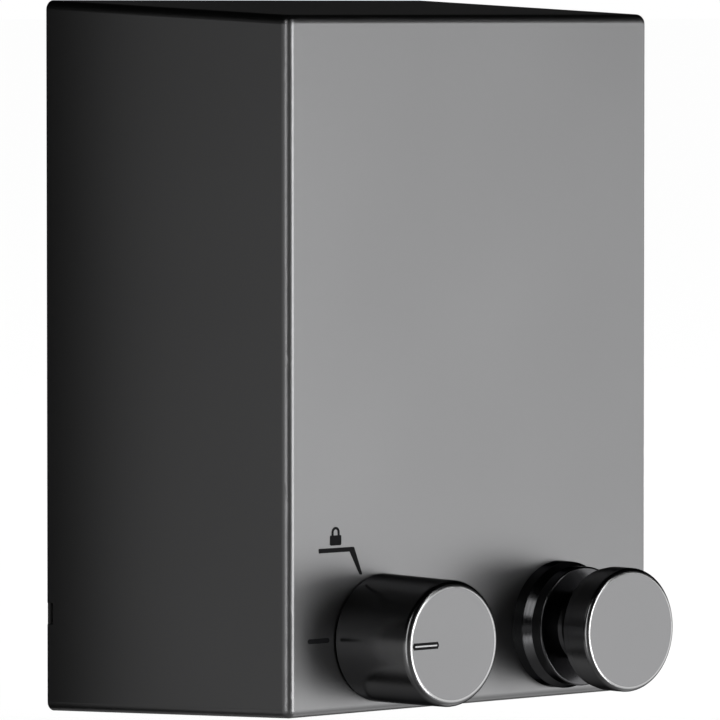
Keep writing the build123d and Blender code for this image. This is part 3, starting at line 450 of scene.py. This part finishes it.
class CLOTHESLINE_OT_marks(bpy.types.Operator):
    """Put the index tick, the lock sign and the knob's index on"""

    bl_idname = "clothesline.marks"
    bl_label = "Signs"

    # How far a sign reaches below the face it lies on
    SINK = 0.01 * MM

    # Index tick on the panel
    TICK_LEFT = -32.05 * MM
    TICK_RIGHT = -28.55 * MM
    TICK_Z = -39.45 * MM

    # Rule under the padlock, with a leader that bends down from its right end. A share is an end's
    # rounding as a part of half the stroke's width
    RULE_LEFT = -30.25 * MM
    RULE_Z = -26.53 * MM
    RULE_END_SHARE = 0.4
    BEND_INNER_X = -23.95 * MM
    BEND_OUTER_X = -23.65 * MM
    BEND_ROUND = 0.2 * MM
    LEADER_END_X = -22.0 * MM
    LEADER_END_Z = -30.3 * MM
    LEADER_END_SHARE = 0.6

    # Padlock: its place is the middle of the body's bottom edge
    PADLOCK_X = -26.97 * MM
    PADLOCK_Z = -25.85 * MM
    BODY_WIDTH = 2.2 * MM
    BODY_HEIGHT = 1.45 * MM
    BODY_LOW_ROUND = 0.25 * MM
    BODY_HIGH_ROUND = 0.15 * MM
    SHACKLE_FOOT = 1.4 * MM
    SHACKLE_LEG = 0.5 * MM
    SHACKLE_INNER = 0.4 * MM
    SHACKLE_OUTER = 0.78 * MM
    SHACKLE_STEPS = 14

    # Index on the lock knob, by its ends' distances from the knob's axis
    INDEX_OUTER = 7.5 * MM
    INDEX_INNER = 3.4 * MM
    # Width of the pale middle strip as a share of the index's width: bare metal, painted paler as the
    # groove's highlight
    BARE_AND_HIGHLIGHT_SHARE = 0.22

    def execute(self, context):
        settings = context.scene.clothesline_marks
        ink = plastic("sign_enamel", settings.ink, roughness=0.6, grain=0.3 * MM, depth=0.004 * MM)
        ink.set("Specular IOR Level", 0.12)
        self.tick(settings, ink)
        self.leader(settings, ink)
        self.padlock(settings, ink)
        self.knob_index(settings, ink)
        return {"FINISHED"}

    def levels(self, settings, face_y):
        """Back and front level of a sign on a face."""
        return face_y + self.SINK, face_y - settings.relief

    def tick(self, settings, ink):
        """Short stroke that the knob's index points at when the line runs free."""
        back, front = self.levels(settings, PANEL_Y)
        start = self.TICK_LEFT, self.TICK_Z
        end = self.TICK_RIGHT, self.TICK_Z
        bm = bmesh.new()
        stroke(bm, start, end, settings.tick_width, back, front)
        finished(bm, "sign_tick", "case", ink)

    def leader(self, settings, ink):
        """Rule with a leader that points at the lock position."""
        back, front = self.levels(settings, PANEL_Y)
        rule = settings.rule_width / 2
        leader = settings.leader_width / 2
        bottom, top = self.RULE_Z - rule, self.RULE_Z + rule
        outline = [(self.RULE_LEFT, bottom),
                   (self.BEND_INNER_X - leader, bottom),
                   (self.LEADER_END_X - leader, self.LEADER_END_Z),
                   (self.LEADER_END_X + leader, self.LEADER_END_Z),
                   (self.BEND_OUTER_X + leader, top),
                   (self.RULE_LEFT, top)]
        rule_end = rule * self.RULE_END_SHARE
        leader_end = leader * self.LEADER_END_SHARE
        bm = bmesh.new()
        slab(bm, outline, back, front,
             rounds=[rule_end, 0, leader_end, leader_end, self.BEND_ROUND, rule_end])
        finished(bm, "sign_leader", "case", ink)

    def padlock(self, settings, ink):
        """A plain closed padlock over the rule."""
        back, front = self.levels(settings, PANEL_Y)
        left, right = self.PADLOCK_X - self.BODY_WIDTH / 2, self.PADLOCK_X + self.BODY_WIDTH / 2
        bottom, top = self.PADLOCK_Z, self.PADLOCK_Z + self.BODY_HEIGHT
        bm = bmesh.new()
        slab(bm, [(left, bottom), (right, bottom), (right, top), (left, top)], back, front,
             rounds=[self.BODY_LOW_ROUND] * 2 + [self.BODY_HIGH_ROUND] * 2)
        foot = self.PADLOCK_Z + self.SHACKLE_FOOT
        inner, outer = self.PADLOCK_X + self.SHACKLE_INNER, self.PADLOCK_X + self.SHACKLE_OUTER
        section = ((inner, back), (outer, back), (outer, front), (inner, front))
        start = bm.faces.new([bm.verts.new((x, y, foot)) for x, y in section])
        shoulder = pulled(bm, start, (0, 0, self.SHACKLE_LEG))
        arch = bmesh.ops.spin(bm, geom=[shoulder], cent=(self.PADLOCK_X, 0, foot + self.SHACKLE_LEG),
                              axis=(0, -1, 0), angle=math.pi, steps=self.SHACKLE_STEPS,
                              use_merge=False)["geom_last"]
        last = next(part for part in arch if isinstance(part, bmesh.types.BMFace))
        pulled(bm, last, (0, 0, -self.SHACKLE_LEG))
        finished(bm, "sign_padlock", "case", ink)

    def knob_index(self, settings, ink):
        """Dark line on the lock knob's face with a pale strip along its middle: bare metal, painted
        paler than the knob's own metal as the highlight of the engraved groove.
        """
        # Pale colour of the middle strip: bare metal with a painted highlight of the engraved groove
        bright = metal("index_bare_and_highlight", colour=(0.62, 0.62, 0.63), roughness=0.22, grain=0.3 * MM)
        start = LOCK_AXIS.x - self.INDEX_OUTER, LOCK_AXIS.z
        end = LOCK_AXIS.x - self.INDEX_INNER, LOCK_AXIS.z
        back, front = self.levels(settings, LOCK_FACE_Y)
        bm = bmesh.new()
        stroke(bm, start, end, settings.index_width, back, front)
        finished(bm, "knob_index", "lock", ink)
        back, front = self.levels(settings, front)
        bm = bmesh.new()
        stroke(bm, start, end, settings.index_width * self.BARE_AND_HIGHLIGHT_SHARE, back, front)
        finished(bm, "knob_index_bare_and_highlight", "lock", bright)


class CLOTHESLINE_OT_line(bpy.types.Operator):
    """Lay the braided line on the drum, round the roller and out to the pull knob"""

    bl_idname = "clothesline.line"
    bl_label = "Line"

    # Sides of the line's round section in the paid-out stretch, and its parts between stops
    SECTION_SIDES = 16
    STRETCH_PARTS = 4
    # How far inside the collar and the stem the stretch's inner stops lie
    STRETCH_MARGIN = 1.2 * MM

    # Route to the collar: depths are distances from the wall
    RUN_DEPTH = 28.6 * MM
    RUN_RADIUS = 23.5 * MM
    RUN_SIDES = 8
    RUN_END = 45.0 * MM
    ROLLER_PITCH = 6.0 * MM

    # Winding: radius of each layer, and depths at the back, the front and the last turn
    LAYER_RADII = 17.95 * MM, 19.7 * MM, 21.35 * MM, 23.3 * MM
    WOUND_BACK = 28.45 * MM
    WOUND_FRONT = 43.55 * MM
    WOUND_LAST = 30.85 * MM
    TURN_SIDES = 16

    def execute(self, context):
        settings = context.scene.clothesline_line
        braid = Finish("line_braid", settings.colour, metallic=0.0, roughness=0.75)
        stitches = braid.weave(settings.braid)
        # The colour is darkest where the stitch relief is lowest: painted shade in the hollows between
        # the stitches
        braid.tint(stitches, darker=0.72, lighter=1.05)
        braid.emboss(stitches, depth=0.08 * MM)
        braid.set("Sheen Weight", 0.25)

        run = self.tube("line_run", self.run_points(), settings.radius)
        run = finished_mesh(run, "line_run", "case", braid)
        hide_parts("line_lead")
        wound = self.tube("line_turns", self.wound_points(settings.turns), settings.wound_radius)
        wound = finished_mesh(wound, "line_turns", "drum", braid)
        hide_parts("line_winding")
        self.paid_out(settings, braid)
        return {"FINISHED"}

    def tube(self, name, points, radius):
        """Mesh tube along a smooth NURBS line."""
        curve = bpy.data.curves.new(name, "CURVE")
        curve.dimensions = "3D"
        curve.bevel_depth = radius
        curve.bevel_resolution = 2
        curve.resolution_u = 3
        curve.use_fill_caps = True
        spline = curve.splines.new("NURBS")
        spline.points.add(len(points) - 1)
        for point, place in zip(spline.points, points):
            point.co = (*place, 1.0)
        spline.order_u = 3
        spline.use_endpoint_u = True
        holder = bpy.data.objects.new(name, curve)
        mesh = bpy.data.meshes.new_from_object(holder)
        bpy.data.objects.remove(holder)
        bpy.data.curves.remove(curve)
        return mesh

    def run_points(self):
        """Route from the drum's last half turn, down and round the roller into the collar."""
        step = math.pi / self.RUN_SIDES
        corner = self.RUN_RADIUS / math.cos(step / 2)
        back = -self.RUN_DEPTH
        points = [(DRUM_AXIS.x - self.RUN_RADIUS, back, DRUM_AXIS.z)]
        for side in range(self.RUN_SIDES):
            angle = math.pi - step * (side + 0.5)
            points.append((DRUM_AXIS.x + corner * math.cos(angle), back,
                           DRUM_AXIS.z + corner * math.sin(angle)))
        outlet_x, outlet_z = PULL_AXIS.x, PULL_AXIS.z
        roller_y, roller_z = back - self.ROLLER_PITCH, outlet_z + self.ROLLER_PITCH
        bend = self.ROLLER_PITCH * math.tan(step)
        points += [(outlet_x, back, DRUM_AXIS.z - self.RUN_RADIUS * math.tan(step / 2)),
                   (outlet_x, back, roller_z + bend),
                   (outlet_x, back, roller_z - bend),
                   (outlet_x, roller_y + bend, outlet_z),
                   (outlet_x, roller_y - bend, outlet_z),
                   (outlet_x, -self.RUN_END, outlet_z)]
        return points

    def wound_points(self, turns):
        """Turns of the winding, layer over layer, to and fro across the drum."""
        back, front, last = self.WOUND_BACK, self.WOUND_FRONT, self.WOUND_LAST
        layers = ((turns, back, front), (turns, front, back),
                  (turns, back, front), (turns - 1, front, last))
        points = []
        for radius, (count, start, end) in zip(self.LAYER_RADII, layers):
            corner = radius / math.cos(math.pi / self.TURN_SIDES)
            steps = count * self.TURN_SIDES
            for place in range(steps):
                angle = math.tau * place / self.TURN_SIDES
                depth = start + (end - start) * place / steps
                points.append((DRUM_AXIS.x + corner * math.cos(angle), -depth,
                               DRUM_AXIS.z + corner * math.sin(angle)))
        return points

    def paid_out(self, settings, finish):
        """The stretch from the collar to the pull knob, in parts between stops at the collar and the
        stem.
        """
        low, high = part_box("line_end")
        collar_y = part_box("outlet_collar")[0].y + self.STRETCH_MARGIN
        stem_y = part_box("pull_stem")[1].y - self.STRETCH_MARGIN
        bm = bmesh.new()
        bmesh.ops.create_circle(bm, cap_ends=True, segments=self.SECTION_SIDES, radius=settings.radius)
        bmesh.ops.rotate(bm, verts=bm.verts, matrix=UP_TO_FRONT)
        bmesh.ops.translate(bm, verts=bm.verts, vec=(PULL_AXIS.x, high.y, PULL_AXIS.z))
        face = next(iter(bm.faces))
        level = high.y
        for stop in (collar_y, stem_y, low.y):
            share = (stop - level) / self.STRETCH_PARTS
            for _ in range(self.STRETCH_PARTS):
                face = pulled(bm, face, (0, share, 0))
            level = stop
        piece = finished(bm, "line_paid_out", None, finish)
        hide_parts("line_end")
        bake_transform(piece)


class CLOTHESLINE_OT_fasteners(bpy.types.Operator):
    """Make the screws with cross recesses and plate the other fasteners"""

    bl_idname = "clothesline.fasteners"
    bl_label = "Fasteners"

    SHANK_RADIUS = 1.5 * MM
    SCREW_SIDES = 32
    PAN_RADIUS = 2.8 * MM
    PAN_HEIGHT = 2.1 * MM
    # Dome of a pan head: shares of its radius, with their depths below its top
    PAN_DOME = (1.0, 0.9 * MM), (0.9, 0.4 * MM), (0.68, 0.0)
    # Cross recess: its arms' reach and half width, its depth, and its size at the bottom
    RECESS_REACH = 1.5 * MM
    RECESS_ARM = 0.42 * MM
    RECESS_DEPTH = 1.1 * MM
    RECESS_TAPER = 0.62

    def execute(self, context):
        zinc = metal("fastener_zinc", colour=(0.52, 0.53, 0.54), roughness=0.3, grain=0.6 * MM)
        coat(zinc, "axle_screw", "axle_washers", "axle_clip", "guide_pin", "guide_pin_clip",
             "collar_nut", "line_ferrule", "shaft_clip")
        black = metal("set_screw_black", colour=(0.045, 0.045, 0.05), roughness=0.38, grain=0.4 * MM)
        coat(black, "knob_set_screw")
        self.chassis_screws(zinc)
        self.base_screw(black)
        return {"FINISHED"}

    def chassis_screws(self, finish):
        """Four pan-head screws, heads to the back."""
        low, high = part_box("chassis_screws")
        head = self.PAN_RADIUS
        profile = [(self.SHANK_RADIUS, high.y - low.y), (self.SHANK_RADIUS, self.PAN_HEIGHT),
                   (head, self.PAN_HEIGHT)]
        profile += [(head * share, depth) for share, depth in self.PAN_DOME]
        bm = bmesh.new()
        for x in (low.x + head, high.x - head):
            for z in (low.z + head, high.z - head):
                verts = self.screw(bm, profile)
                bmesh.ops.rotate(bm, verts=verts, matrix=UP_TO_FRONT)
                bmesh.ops.translate(bm, verts=verts, vec=(x, high.y, z))
        piece = finished(bm, "chassis_screw_set", "case", finish)
        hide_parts("chassis_screws")

    def base_screw(self, finish):
        """Countersunk screw, head down."""
        low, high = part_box("base_screw")
        head = (high.x - low.x) / 2
        centre = middle("base_screw")
        bm = bmesh.new()
        verts = self.screw(bm, [(self.SHANK_RADIUS, high.z - low.z),
                                (self.SHANK_RADIUS, head - self.SHANK_RADIUS), (head, 0.0)])
        bmesh.ops.translate(bm, verts=verts, vec=(centre.x, centre.y, low.z))
        piece = finished(bm, "base_screw_set", "case", finish)
        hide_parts("base_screw")

    def screw(self, bm, profile):
        """Screw along +Z, top of its head at zero, from a few profile points, with a cross recess."""
        before = set(bm.verts)
        line = [bm.verts.new((0, 0, profile[0][1]))]
        line += [bm.verts.new((radius, 0, height)) for radius, height in profile]
        edges = [bm.edges.new(pair) for pair in zip(line, line[1:])]
        bmesh.ops.spin(bm, geom=line + edges, cent=(0, 0, 0), axis=(0, 0, 1), angle=math.tau,
                       steps=self.SCREW_SIDES, use_merge=True)
        made = [v for v in bm.verts if v not in before]
        bmesh.ops.remove_doubles(bm, verts=made, dist=SAME_POINT)
        made = {v for v in bm.verts if v not in before}
        rim = [e for e in bm.edges if e.is_boundary and e.verts[0] in made]
        reach, arm = self.RECESS_REACH, self.RECESS_ARM
        cross = []
        for quarter in range(4):
            turn = Matrix.Rotation(quarter * math.pi / 2, 3, "Z")
            for x, y in ((reach, -arm), (reach, arm), (arm, arm)):
                cross.append(bm.verts.new(turn @ Vector((x, y, 0))))
        recess = bm.faces.new(cross)
        bmesh.ops.bridge_loops(bm, edges=rim + list(recess.edges))
        bottom = pulled(bm, recess, (0, 0, self.RECESS_DEPTH))
        bmesh.ops.scale(bm, verts=list(bottom.verts), vec=(self.RECESS_TAPER, self.RECESS_TAPER, 1.0))
        bmesh.ops.delete(bm, geom=[recess], context="FACES_ONLY")
        return [v for v in bm.verts if v not in before]


class CLOTHESLINE_OT_back(bpy.types.Operator):
    """Finish the wall plate and the chassis behind the case"""

    bl_idname = "clothesline.back"
    bl_label = "Wall plate and chassis"

    def execute(self, context):
        plate = Finish("plate_zinc", colour=(0.55, 0.56, 0.57), metallic=1.0, roughness=0.36)
        plate.roughen(plate.spangle(3.5 * MM), smoother=0.08, rougher=0.1)
        plate.tint(plate.noise(20 * MM, detail=3.0), darker=0.9, lighter=1.06)
        plate.emboss(plate.noise(0.4 * MM, detail=3.0, stretch=(1, 1, 0.08)), depth=0.004 * MM)
        coat(plate, "wall_plate")
        black = plastic("chassis_black", colour=(0.028, 0.028, 0.03), roughness=0.5, grain=0.5 * MM,
                        depth=0.02 * MM)
        coat(black, "chassis")
        return {"FINISHED"}


class CLOTHESLINE_OT_mechanism(bpy.types.Operator):
    """Finish the drum, spring, roller and lock inside the case, and both seals"""

    bl_idname = "clothesline.mechanism"
    bl_label = "Mechanism"

    BRONZE = 0.62, 0.42, 0.19
    STEEL = 0.58, 0.58, 0.58

    def execute(self, context):
        acetal = plastic("spool_acetal", colour=(0.7, 0.7, 0.66), roughness=0.42, grain=0.8 * MM)
        acetal.set("Subsurface Weight", 0.08)
        coat(acetal, "drum_spool", "spring_cover", "guide_roller")
        bush = metal("bush_bronze", self.BRONZE, roughness=0.34, grain=0.3 * MM, centre=DRUM_AXIS)
        coat(bush, "drum_bush_front", "drum_bush_rear")
        lock_bush = metal("lock_bush_bronze", self.BRONZE, roughness=0.34, grain=0.3 * MM,
                          centre=LOCK_AXIS)
        coat(lock_bush, "lock_bush")
        axle = metal("axle_steel", self.STEEL, roughness=0.24, grain=0.4 * MM, centre=DRUM_AXIS)
        coat(axle, "drum_axle")
        shaft = metal("lock_steel", self.STEEL, roughness=0.26, grain=0.4 * MM, centre=LOCK_AXIS)
        coat(shaft, "lock_shaft", "crank_disc", "crank_pin")
        bar = metal("bar_steel", colour=(0.5, 0.5, 0.51), roughness=0.34, grain=0.5 * MM)
        coat(bar, "lock_bar")
        spring = metal("spring_steel", colour=(0.28, 0.31, 0.37), roughness=0.28, grain=0.5 * MM)
        coat(spring, "power_spring")
        rubber = plastic("seal_rubber", colour=(0.015, 0.015, 0.015), roughness=0.7, grain=0.3 * MM)
        coat(rubber, "shaft_seal", "rim_gasket")
        return {"FINISHED"}


class CLOTHESLINE_OT_stage(bpy.types.Operator):
    """Set up the floor, the light and the camera"""

    bl_idname = "clothesline.stage"
    bl_label = "Stage"

    FLOOR_REACH = 60.0
    SURROUND_RADIUS = 9.0

    # Grey levels round the horizon, by degrees from the left by way of the front
    HORIZON = ((0, 0.4), (14, 0.75), (25, 0.8), (38, 0.35), (48, 0.1), (80, 0.1), (95, 0.4),
               (110, 1.0), (126, 1.09), (136, 1.15), (150, 1.24), (168, 1.1), (188, 0.8),
               (208, 0.3), (226, 0.06), (290, 0.09), (318, 0.165), (345, 0.28), (360, 0.4))
    # Shares of those levels by height, from -1 straight down to 1 straight up
    BAND = ((-1.0, 0.05), (-0.8, 0.1), (-0.55, 0.4), (-0.35, 0.6), (-0.12, 0.95), (-0.03, 1.0),
            (0.0, 1.0), (0.02, 0.92), (0.085, 0.03), (0.3, 0.0), (1.0, 0.0))
    # Grey levels added all round, by height
    GROUND = ((-1.0, 0.12), (-0.85, 0.08), (-0.6, 0.15), (-0.4, 0.08), (-0.3, 0.04), (0.0, 0.0),
              (0.06, 0.0), (0.2, 0.03), (0.5, 0.0))

    # Upright cards: grey level, width and height, place, and turn about the vertical in degrees
    CARDS = (
        {"name": "flag", "level": 0.0, "size": (0.036, 0.3),
         "place": (-0.055, 0.019, 0.0), "turn": 0},
        {"name": "front_strip", "level": 4.6, "size": (0.9, 3.3),
         "place": (1.43, -3.73, -0.85), "turn": 21},
        {"name": "high_strip", "level": 4.6, "size": (0.3, 2.2),
         "place": (1.43, -3.73, 1.9), "turn": 21},
        {"name": "left_strip", "level": 1.9, "size": (0.7, 5.5),
         "place": (-3.63, -1.69, 0.6), "turn": -65},
        {"name": "rear_card", "level": 0.7, "size": (1.7, 2.0),
         "place": (0.14, 4.0, -0.15), "turn": 178},
        {"name": "low_card", "level": 0.9, "size": (1.4, 2.0),
         "place": (2.56, -0.18, -3.2), "turn": 86},
    )

    LAMP_PLACE = Vector((0.75, -1.45, 0.75))
    LAMP_WIDTH = 0.5
    LAMP_HEIGHT = 0.9

    CAMERA_PLACE = Vector((-0.75792, -0.84553, 0.05131))
    CAMERA_TARGET = Vector((0.000992, -0.025976, -0.000913))
    SENSOR_WIDTH = 36.0
    CAMERA_REACH = 300.0

    def execute(self, context):
        settings = context.scene.clothesline_stage
        self.floor(settings)
        self.reflections()
        self.light(context, settings)
        self.camera(context, settings)
        context.scene.view_settings.view_transform = "Standard"
        return {"FINISHED"}

    def put(self, bm, name, material):
        """Turn a bmesh into a piece of the stage."""
        mesh = bpy.data.meshes.new(name)
        bm.to_mesh(mesh)
        bm.free()
        mesh.materials.append(material)
        piece = bpy.data.objects.new(name, mesh)
        bpy.context.scene.collection.objects.link(piece)
        return piece

    def floor(self, settings):
        """Pale floor a little way below the case, which hangs on its wall."""
        paper = Finish("floor_paper", settings.floor_colour, metallic=0.0, roughness=0.9)
        paper.set("Specular IOR Level", 0.0)
        paper.tint(paper.noise(4 * MM), darker=0.995, lighter=1.005)
        bm = bmesh.new()
        bmesh.ops.create_grid(bm, x_segments=1, y_segments=1, size=self.FLOOR_REACH)
        bmesh.ops.translate(bm, verts=bm.verts, vec=(0, 0, CAD_BOX[0].z - settings.floor_gap))
        floor = self.put(bm, "floor", paper.material)
        floor.visible_glossy = False

    def reflections(self):
        """Dark surround with a low band of soft light, and cards, which only reflections show."""
        bm = bmesh.new()
        bmesh.ops.create_uvsphere(bm, u_segments=48, v_segments=24, radius=self.SURROUND_RADIUS)
        pieces = [self.put(bm, "surround", self.surround_cloth())]
        pieces += [self.card(**card) for card in self.CARDS]
        for piece in pieces:
            piece.visible_camera = False
            piece.visible_diffuse = False
            piece.visible_transmission = False
            piece.visible_shadow = False

    def card(self, name, level, size, place, turn):
        """Upright card of one grey level, turned about its middle."""
        width, height = size
        bm = bmesh.new()
        bmesh.ops.create_grid(bm, x_segments=1, y_segments=1, size=0.5)
        bmesh.ops.rotate(bm, verts=bm.verts, matrix=UP_TO_FRONT)
        bmesh.ops.scale(bm, verts=bm.verts, vec=(width, 1, height))
        bmesh.ops.rotate(bm, verts=bm.verts, matrix=Matrix.Rotation(math.radians(turn), 3, "Z"))
        bmesh.ops.translate(bm, verts=bm.verts, vec=place)
        return self.put(bm, name, self.glow(f"{name}_cloth", level)[0])

    def glow(self, name, level):
        """Material that shows one grey level in reflections, with its emission node."""
        material = bpy.data.materials.new(name)
        material.use_nodes = True
        tree = material.node_tree
        tree.nodes.clear()
        emission = add_node(tree, "ShaderNodeEmission", values={"Color": (level, level, level, 1)})
        add_node(tree, "ShaderNodeOutputMaterial", {"Surface": emission.outputs["Emission"]})
        return material, emission

    def surround_cloth(self):
        """Light round the horizon, kept to a band by height, over a faint light from the ground."""
        material, emission = self.glow("surround_cloth", 1.0)
        tree = material.node_tree
        place = add_node(tree, "ShaderNodeTexCoord").outputs["Object"]
        around = add_node(tree, "ShaderNodeTexGradient", {"Vector": place}, gradient_type="RADIAL")
        unit = add_node(tree, "ShaderNodeVectorMath", {0: place}, operation="NORMALIZE")
        split = add_node(tree, "ShaderNodeSeparateXYZ", {"Vector": unit.outputs["Vector"]})
        upward = add_node(tree, "ShaderNodeMapRange", {"Value": split.outputs["Z"]}, {"From Min": -1.0})
        ring = self.ramp(tree, around.outputs["Fac"],
                         [(angle / 360, level) for angle, level in self.HORIZON])
        band = self.ramp(tree, upward.outputs["Result"],
                         [((height + 1) / 2, share) for height, share in self.BAND])
        base = self.ramp(tree, upward.outputs["Result"],
                         [((height + 1) / 2, level) for height, level in self.GROUND])
        total = add_node(tree, "ShaderNodeVectorMath", {0: ring, 1: band, 2: base},
                         operation="MULTIPLY_ADD")
        tree.links.new(total.outputs["Vector"], emission.inputs["Color"])
        return material

    def ramp(self, tree, value, stops):
        """Grey levels read from a value by a colour ramp."""
        ramp = add_node(tree, "ShaderNodeValToRGB", {"Fac": value})
        elements = ramp.color_ramp.elements
        while len(elements) < len(stops):
            elements.new(0.5)
        for element, (position, level) in zip(elements, stops):
            element.position = position
            element.color = (level, level, level, 1)
        return ramp.outputs["Color"]

    def light(self, context, settings):
        """White light all round and a soft lamp at the front."""
        world = bpy.data.worlds.new("studio")
        world.use_nodes = True
        world.cycles.sampling_method = "NONE"
        background = world.node_tree.nodes["Background"]
        background.inputs["Color"].default_value = (1, 1, 1, 1)
        background.inputs["Strength"].default_value = settings.world
        context.scene.world = world
        lamp = bpy.data.lights.new("key", "AREA")
        lamp.shape = "RECTANGLE"
        lamp.size = self.LAMP_WIDTH
        lamp.size_y = self.LAMP_HEIGHT
        lamp.energy = settings.key
        holder = bpy.data.objects.new("key", lamp)
        aim = (-self.LAMP_PLACE).to_track_quat("-Z", "Y")
        holder.matrix_world = Matrix.LocRotScale(self.LAMP_PLACE, aim, None)
        holder.visible_camera = False
        holder.visible_glossy = False
        context.scene.collection.objects.link(holder)

    def camera(self, context, settings):
        """Camera at the photograph's viewing angle."""
        data = bpy.data.cameras.new("camera")
        data.lens = settings.lens
        data.sensor_width = self.SENSOR_WIDTH
        data.clip_end = self.CAMERA_REACH
        holder = bpy.data.objects.new("camera", data)
        aim = (self.CAMERA_TARGET - self.CAMERA_PLACE).to_track_quat("-Z", "Y")
        holder.matrix_world = Matrix.LocRotScale(self.CAMERA_PLACE, aim, None)
        context.scene.collection.objects.link(holder)
        context.scene.camera = holder


class CLOTHESLINE_PT_panel(bpy.types.Panel):
    """Lists the dressing steps and their settings"""

    bl_idname = "CLOTHESLINE_PT_panel"
    bl_label = "Clothesline"
    bl_space_type = "VIEW_3D"
    bl_region_type = "UI"
    bl_category = "Clothesline"

    def draw(self, context):
        for operator in OPERATORS:
            self.layout.operator(operator.bl_idname)
        for name, group in SETTINGS.items():
            box = self.layout.box()
            box.label(text=group.__doc__)
            for setting in group.__annotations__:
                box.prop(getattr(context.scene, name), setting)


SETTINGS = {
    "clothesline_case": CaseSettings,
    "clothesline_knobs": KnobSettings,
    "clothesline_marks": MarkSettings,
    "clothesline_line": LineSettings,
    "clothesline_stage": StageSettings,
}
OPERATORS = (
    CLOTHESLINE_OT_case,
    CLOTHESLINE_OT_knobs,
    CLOTHESLINE_OT_collar,
    CLOTHESLINE_OT_marks,
    CLOTHESLINE_OT_line,
    CLOTHESLINE_OT_fasteners,
    CLOTHESLINE_OT_back,
    CLOTHESLINE_OT_mechanism,
    CLOTHESLINE_OT_stage,
)


def register():
    for kind in (*SETTINGS.values(), *OPERATORS, CLOTHESLINE_PT_panel):
        bpy.utils.register_class(kind)
    for name, group in SETTINGS.items():
        setattr(bpy.types.Scene, name, PointerProperty(type=group))


def unregister():
    for name in SETTINGS:
        delattr(bpy.types.Scene, name)
    for kind in reversed((*SETTINGS.values(), *OPERATORS, CLOTHESLINE_PT_panel)):
        bpy.utils.unregister_class(kind)


def main():
    register()
    for operator in OPERATORS:
        group, step = operator.bl_idname.split(".")
        getattr(getattr(bpy.ops, group), step)()


if __name__ == "__main__":
    main()
